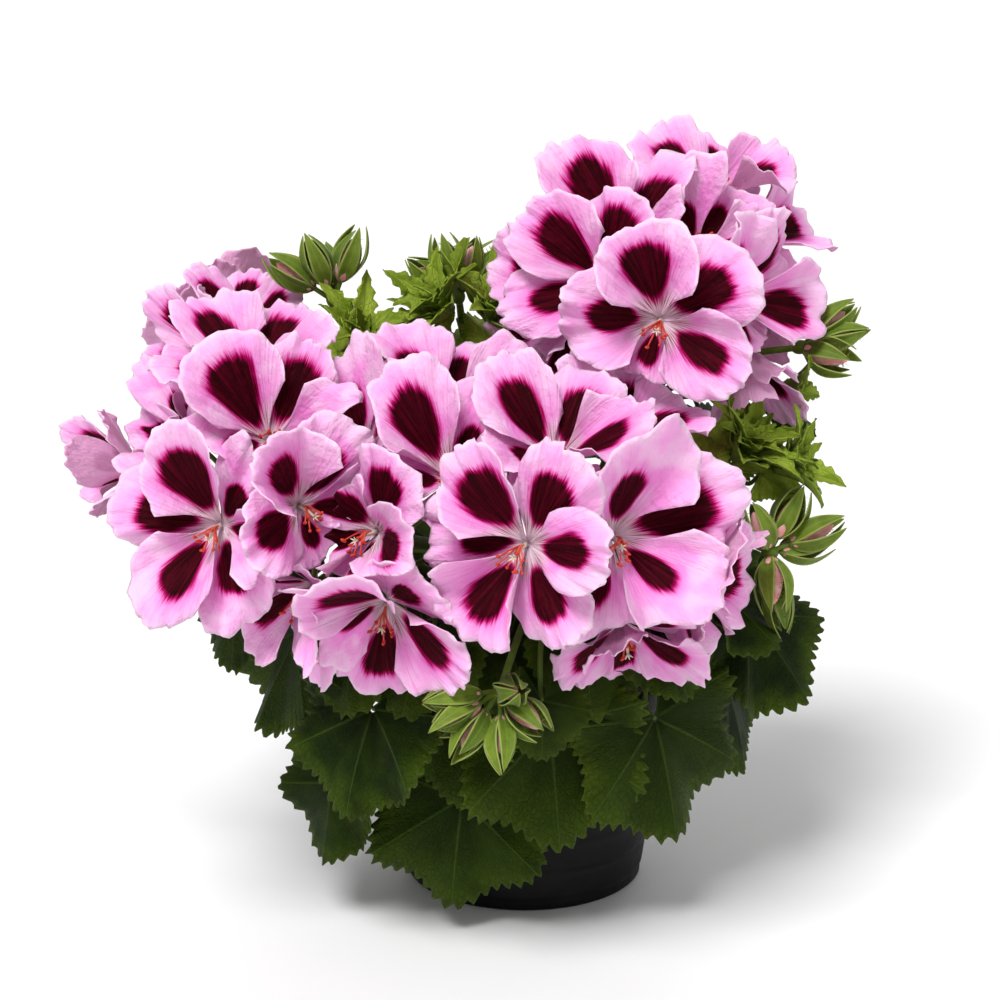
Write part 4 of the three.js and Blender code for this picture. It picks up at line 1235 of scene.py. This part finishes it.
def leaf_material():
    g = Graph("leaf")
    lobe, radial, seed = g.attribute("leaf")
    young, front, outward = g.attribute("mark")
    shift = seed * 53
    # The distance from a lobe's own vein, as a length
    across = ((lobe + 0.5).math("FRACT") - 0.5).math("ABSOLUTE") * radial
    vein = (across - radial.step(0, 1, 0.01, 0.003)).step(0, 0.01, 1, 0)
    rib = (radial * 7.5 - across * 12).math("PINGPONG", 0.5)
    rib = rib.step(0, 0.075, 1, 0) * across.step(0, 0.26, 0.75, 0.25)
    cell = g.node("CombineXYZ", lobe * 0.9, radial, shift)
    net = g.node("TexVoronoi", cell, None, 17, feature="DISTANCE_TO_EDGE").step(0, 0.14, 1, 0)
    lines = vein.math("MAXIMUM", rib * 0.55).math("MAXIMUM", net * 0.14)
    cloud = g.noise((lobe * 0.8, radial, shift), 2.5, 3)
    shade = cloud.step(0.3, 0.7)
    fresh = g.paint((0.22, 0.33, 0.02), (shade, (0.43, 0.56, 0.065)))
    face = g.paint(
        (0.005, 0.013, 0.0003),
        (shade, (0.023, 0.045, 0.0009)),
        (seed.step(0, 1, 0, 0.3), (0.058, 0.1, 0.003)),
        # Painted shade: the blade darkens towards its joint with the stalk
        (radial.step(0.1, 0.95, 0.6, 0), (0.004, 0.011, 0.0003)),
        # Painted light: the blade brightens towards its rim, in patches that follow the cloud noise
        ((outward + cloud * 0.5).step(0.95, 1.4, 0, 0.55), (0.075, 0.12, 0.004)),
        (young, fresh),
        (lines * 0.3, (0.09, 0.16, 0.025)),
        (outward.step(0.94, 1, 0, 0.25), (0.11, 0.16, 0.03)),
    )
    colour = g.paint(face, (0.45, (0.09, 0.14, 0.04)), (front.step(0.1, 0.6), face))
    relief = cloud * 0.3 - (lines * 0.9 + net * 0.35)
    return g.surface(colour, 0.55, relief.bump(0.7, 0.0014), translucent=0.14, glow=(0.13, 0.24, 0.003),
                     Specular_IOR_Level=0.09)


def green_material():
    """Stalks, sepals and the folded petals inside the buds."""
    g = Graph("green")
    young, petal, _ = g.attribute("tint")
    u, sepal, v = g.attribute("mark")
    aside = u.math("ABSOLUTE")
    cloud = g.noise(g.place(), 300, 3)
    folded = g.paint((0.8, 0.3, 0.3), (cloud.step(0.35, 0.65), (0.88, 0.48, 0.46)))
    colour = g.paint(
        (0.025, 0.06, 0.006),
        (young, (0.205, 0.29, 0.022)),
        (cloud.step(0.4, 0.7, 0, 0.45), (0.06, 0.11, 0.008)),
        (aside.step(0.7, 1, 0, 0.5), (0.42, 0.5, 0.13)),
        (aside.step(0, 0.22, 1, 0) * sepal * 0.3, (0.2, 0.3, 0.05)),
        (v.step(0.93, 1, 0, 0.4), (0.2, 0.12, 0.04)),
        (petal, folded),
    )
    fuzz = g.noise(g.place(), 2600, 1)
    return g.surface(colour, 0.55, fuzz.bump(0.35, 0.0006), translucent=0.08,
                     Sheen_Weight=0.12, Sheen_Roughness=0.4, Specular_IOR_Level=0.2)


def heart_material():
    """Filaments, anthers and the stigma."""
    g = Graph("heart")
    anther, style, seed = g.attribute("tint")
    colour = g.paint(
        (0.8, 0.16, 0.1),
        (seed, (0.6, 0.04, 0.02)),
        (anther.step(0.4, 0.6), (0.62, 0.045, 0.012)),
        (style, (0.72, 0.62, 0.5)),
    )
    return g.surface(colour, 0.5, translucent=0.1)


def pot_material():
    g = Graph("pot_plastic")
    dust = g.noise(g.place(), 60, 5, 0.65)
    speck = g.noise(g.place(), 900)
    colour = g.paint((0.003, 0.0031, 0.0032), (dust.step(0.45, 0.75), (0.008, 0.008, 0.0075)))
    rough = dust.step(0.35, 0.7, 0.42, 0.65)
    return g.surface(colour, rough, speck.bump(0.12, 0.0004), Specular_IOR_Level=0.14)


def compost_material():
    g = Graph("compost")
    crumb = g.noise(g.place(), 500, 5, 0.7)
    fibre = g.noise(g.place((1, 3.5, 2)), 420, 3)
    colour = g.paint(
        (0.01, 0.007, 0.005),
        (crumb.step(0.35, 0.65), (0.045, 0.028, 0.018)),
        (fibre.step(0.6, 0.72, 0, 0.6), (0.11, 0.066, 0.036)),
    )
    return g.surface(colour, 0.92, (crumb + fibre).bump(0.9, 0.0025), Specular_IOR_Level=0.2)


def grain_material():
    g = Graph("grains")
    pale, _, seed = g.attribute("tint")
    colour = g.paint((0.06, 0.034, 0.02), (seed, (0.15, 0.085, 0.045)), (pale, (0.62, 0.6, 0.55)))
    return g.surface(colour, 0.85)


def bark_material():
    g = Graph("bark")
    grain = g.noise(g.place((1, 1, 0.22)), 420, 5, 0.65)
    patch = g.noise(g.place(), 110)
    colour = g.paint(
        (0.04, 0.026, 0.015),
        (grain.step(0.35, 0.65), (0.165, 0.12, 0.075)),
        (patch.step(0.5, 0.7, 0, 0.5), (0.09, 0.11, 0.04)),
    )
    return g.surface(colour, 0.85, grain.bump(0.8, 0.002), Specular_IOR_Level=0.25)


# Everything put together

PETAL, LEAF, GREEN, HEART = petal_material(), leaf_material(), green_material(), heart_material()

blooms = [read_bloom(row, index) for index, row in enumerate(BLOOMS)]
for bloom in blooms:
    set_room(bloom, blooms)
    rooms_round(bloom)
for bloom in blooms:
    make_bloom(bloom, PETAL)

for head in HEADS:
    hearts, calyxes = Builder(), Builder()
    for bloom in blooms:
        if bloom.head == head:
            add_stamens(hearts, bloom)
            add_calyx(calyxes, bloom)
    hearts.object("stamens_" + head, HEART)
    calyxes.object("calyxes_" + head, GREEN)

for name in STEMS:
    stalks, blades, buds = shoot_parts(name, blooms)
    made = [stalks.object("stalks_" + name, GREEN), blades.object("leaves_" + name, LEAF)]
    if buds.count:
        made.append(buds.object("buds_" + name, GREEN))
    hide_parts("shoot_" + name)

for row in TUFTS:
    make_tuft(*row, LEAF)

make_pot(pot_material())
make_compost(compost_material(), grain_material())
make_crown(bark_material())


# Floor and light, in metres and degrees

FLOOR_HALF = 14
FLOOR_DROP = 0.0002
FLOOR_GREY = 0.86, 0.86, 0.86
# Name, azimuth, elevation, strength and spread
SUNS = [
    ["key", -25, 55, 3.15, 24],
    ["fill", 60, 30, 0.3, 60],
    ["rim", 170, 40, 0.6, 40],
]
# The height where the sky starts to fade and where it ends, and its strength at both
SKY_FADE = 0.08, 0.24, 1, 0.33


def make_floor():
    mesh = bpy.data.meshes.new("floor")
    h = FLOOR_HALF
    corners = [(x, y, -FLOOR_DROP) for x, y in ((-h, -h), (h, -h), (h, h), (-h, h))]
    mesh.from_pydata(corners, [], [(0, 1, 2, 3)])
    mesh.materials.append(Graph("floor").surface(FLOOR_GREY, 0.75))
    add_object("floor", mesh)


def make_sun(name, azimuth, elevation, strength, spread):
    """A soft sun that shines from a direction, alike over the whole floor."""
    data = bpy.data.lights.new(name, "SUN")
    data.energy = strength
    data.angle = math.radians(spread)
    _, _, out = facing(azimuth, elevation)
    add_object(name, data).rotation_euler = Vector(-out).to_track_quat("-Z", "Y").to_euler()


def make_world():
    """A soft white sky, brightest near the horizon, so that the floor runs into it without a line."""
    world = bpy.data.worlds.new("studio")
    world.use_nodes = True
    nodes, links = world.node_tree.nodes, world.node_tree.links
    place = nodes.new("ShaderNodeTexCoord")
    split = nodes.new("ShaderNodeSeparateXYZ")
    fade = nodes.new("ShaderNodeMapRange")
    fade.interpolation_type = "SMOOTHSTEP"
    for socket, value in zip(fade.inputs[1:5], SKY_FADE):
        socket.default_value = value
    links.new(place.outputs["Generated"], split.inputs[0])
    links.new(split.outputs["Z"], fade.inputs[0])
    links.new(fade.outputs[0], nodes["Background"].inputs["Strength"])
    nodes["Background"].inputs["Color"].default_value = (1, 1, 1, 1)
    bpy.context.scene.world = world


make_floor()
for row in SUNS:
    make_sun(*row)
make_world()
scene = bpy.context.scene
scene.view_settings.view_transform = "Standard"
scene.view_settings.look = "None"
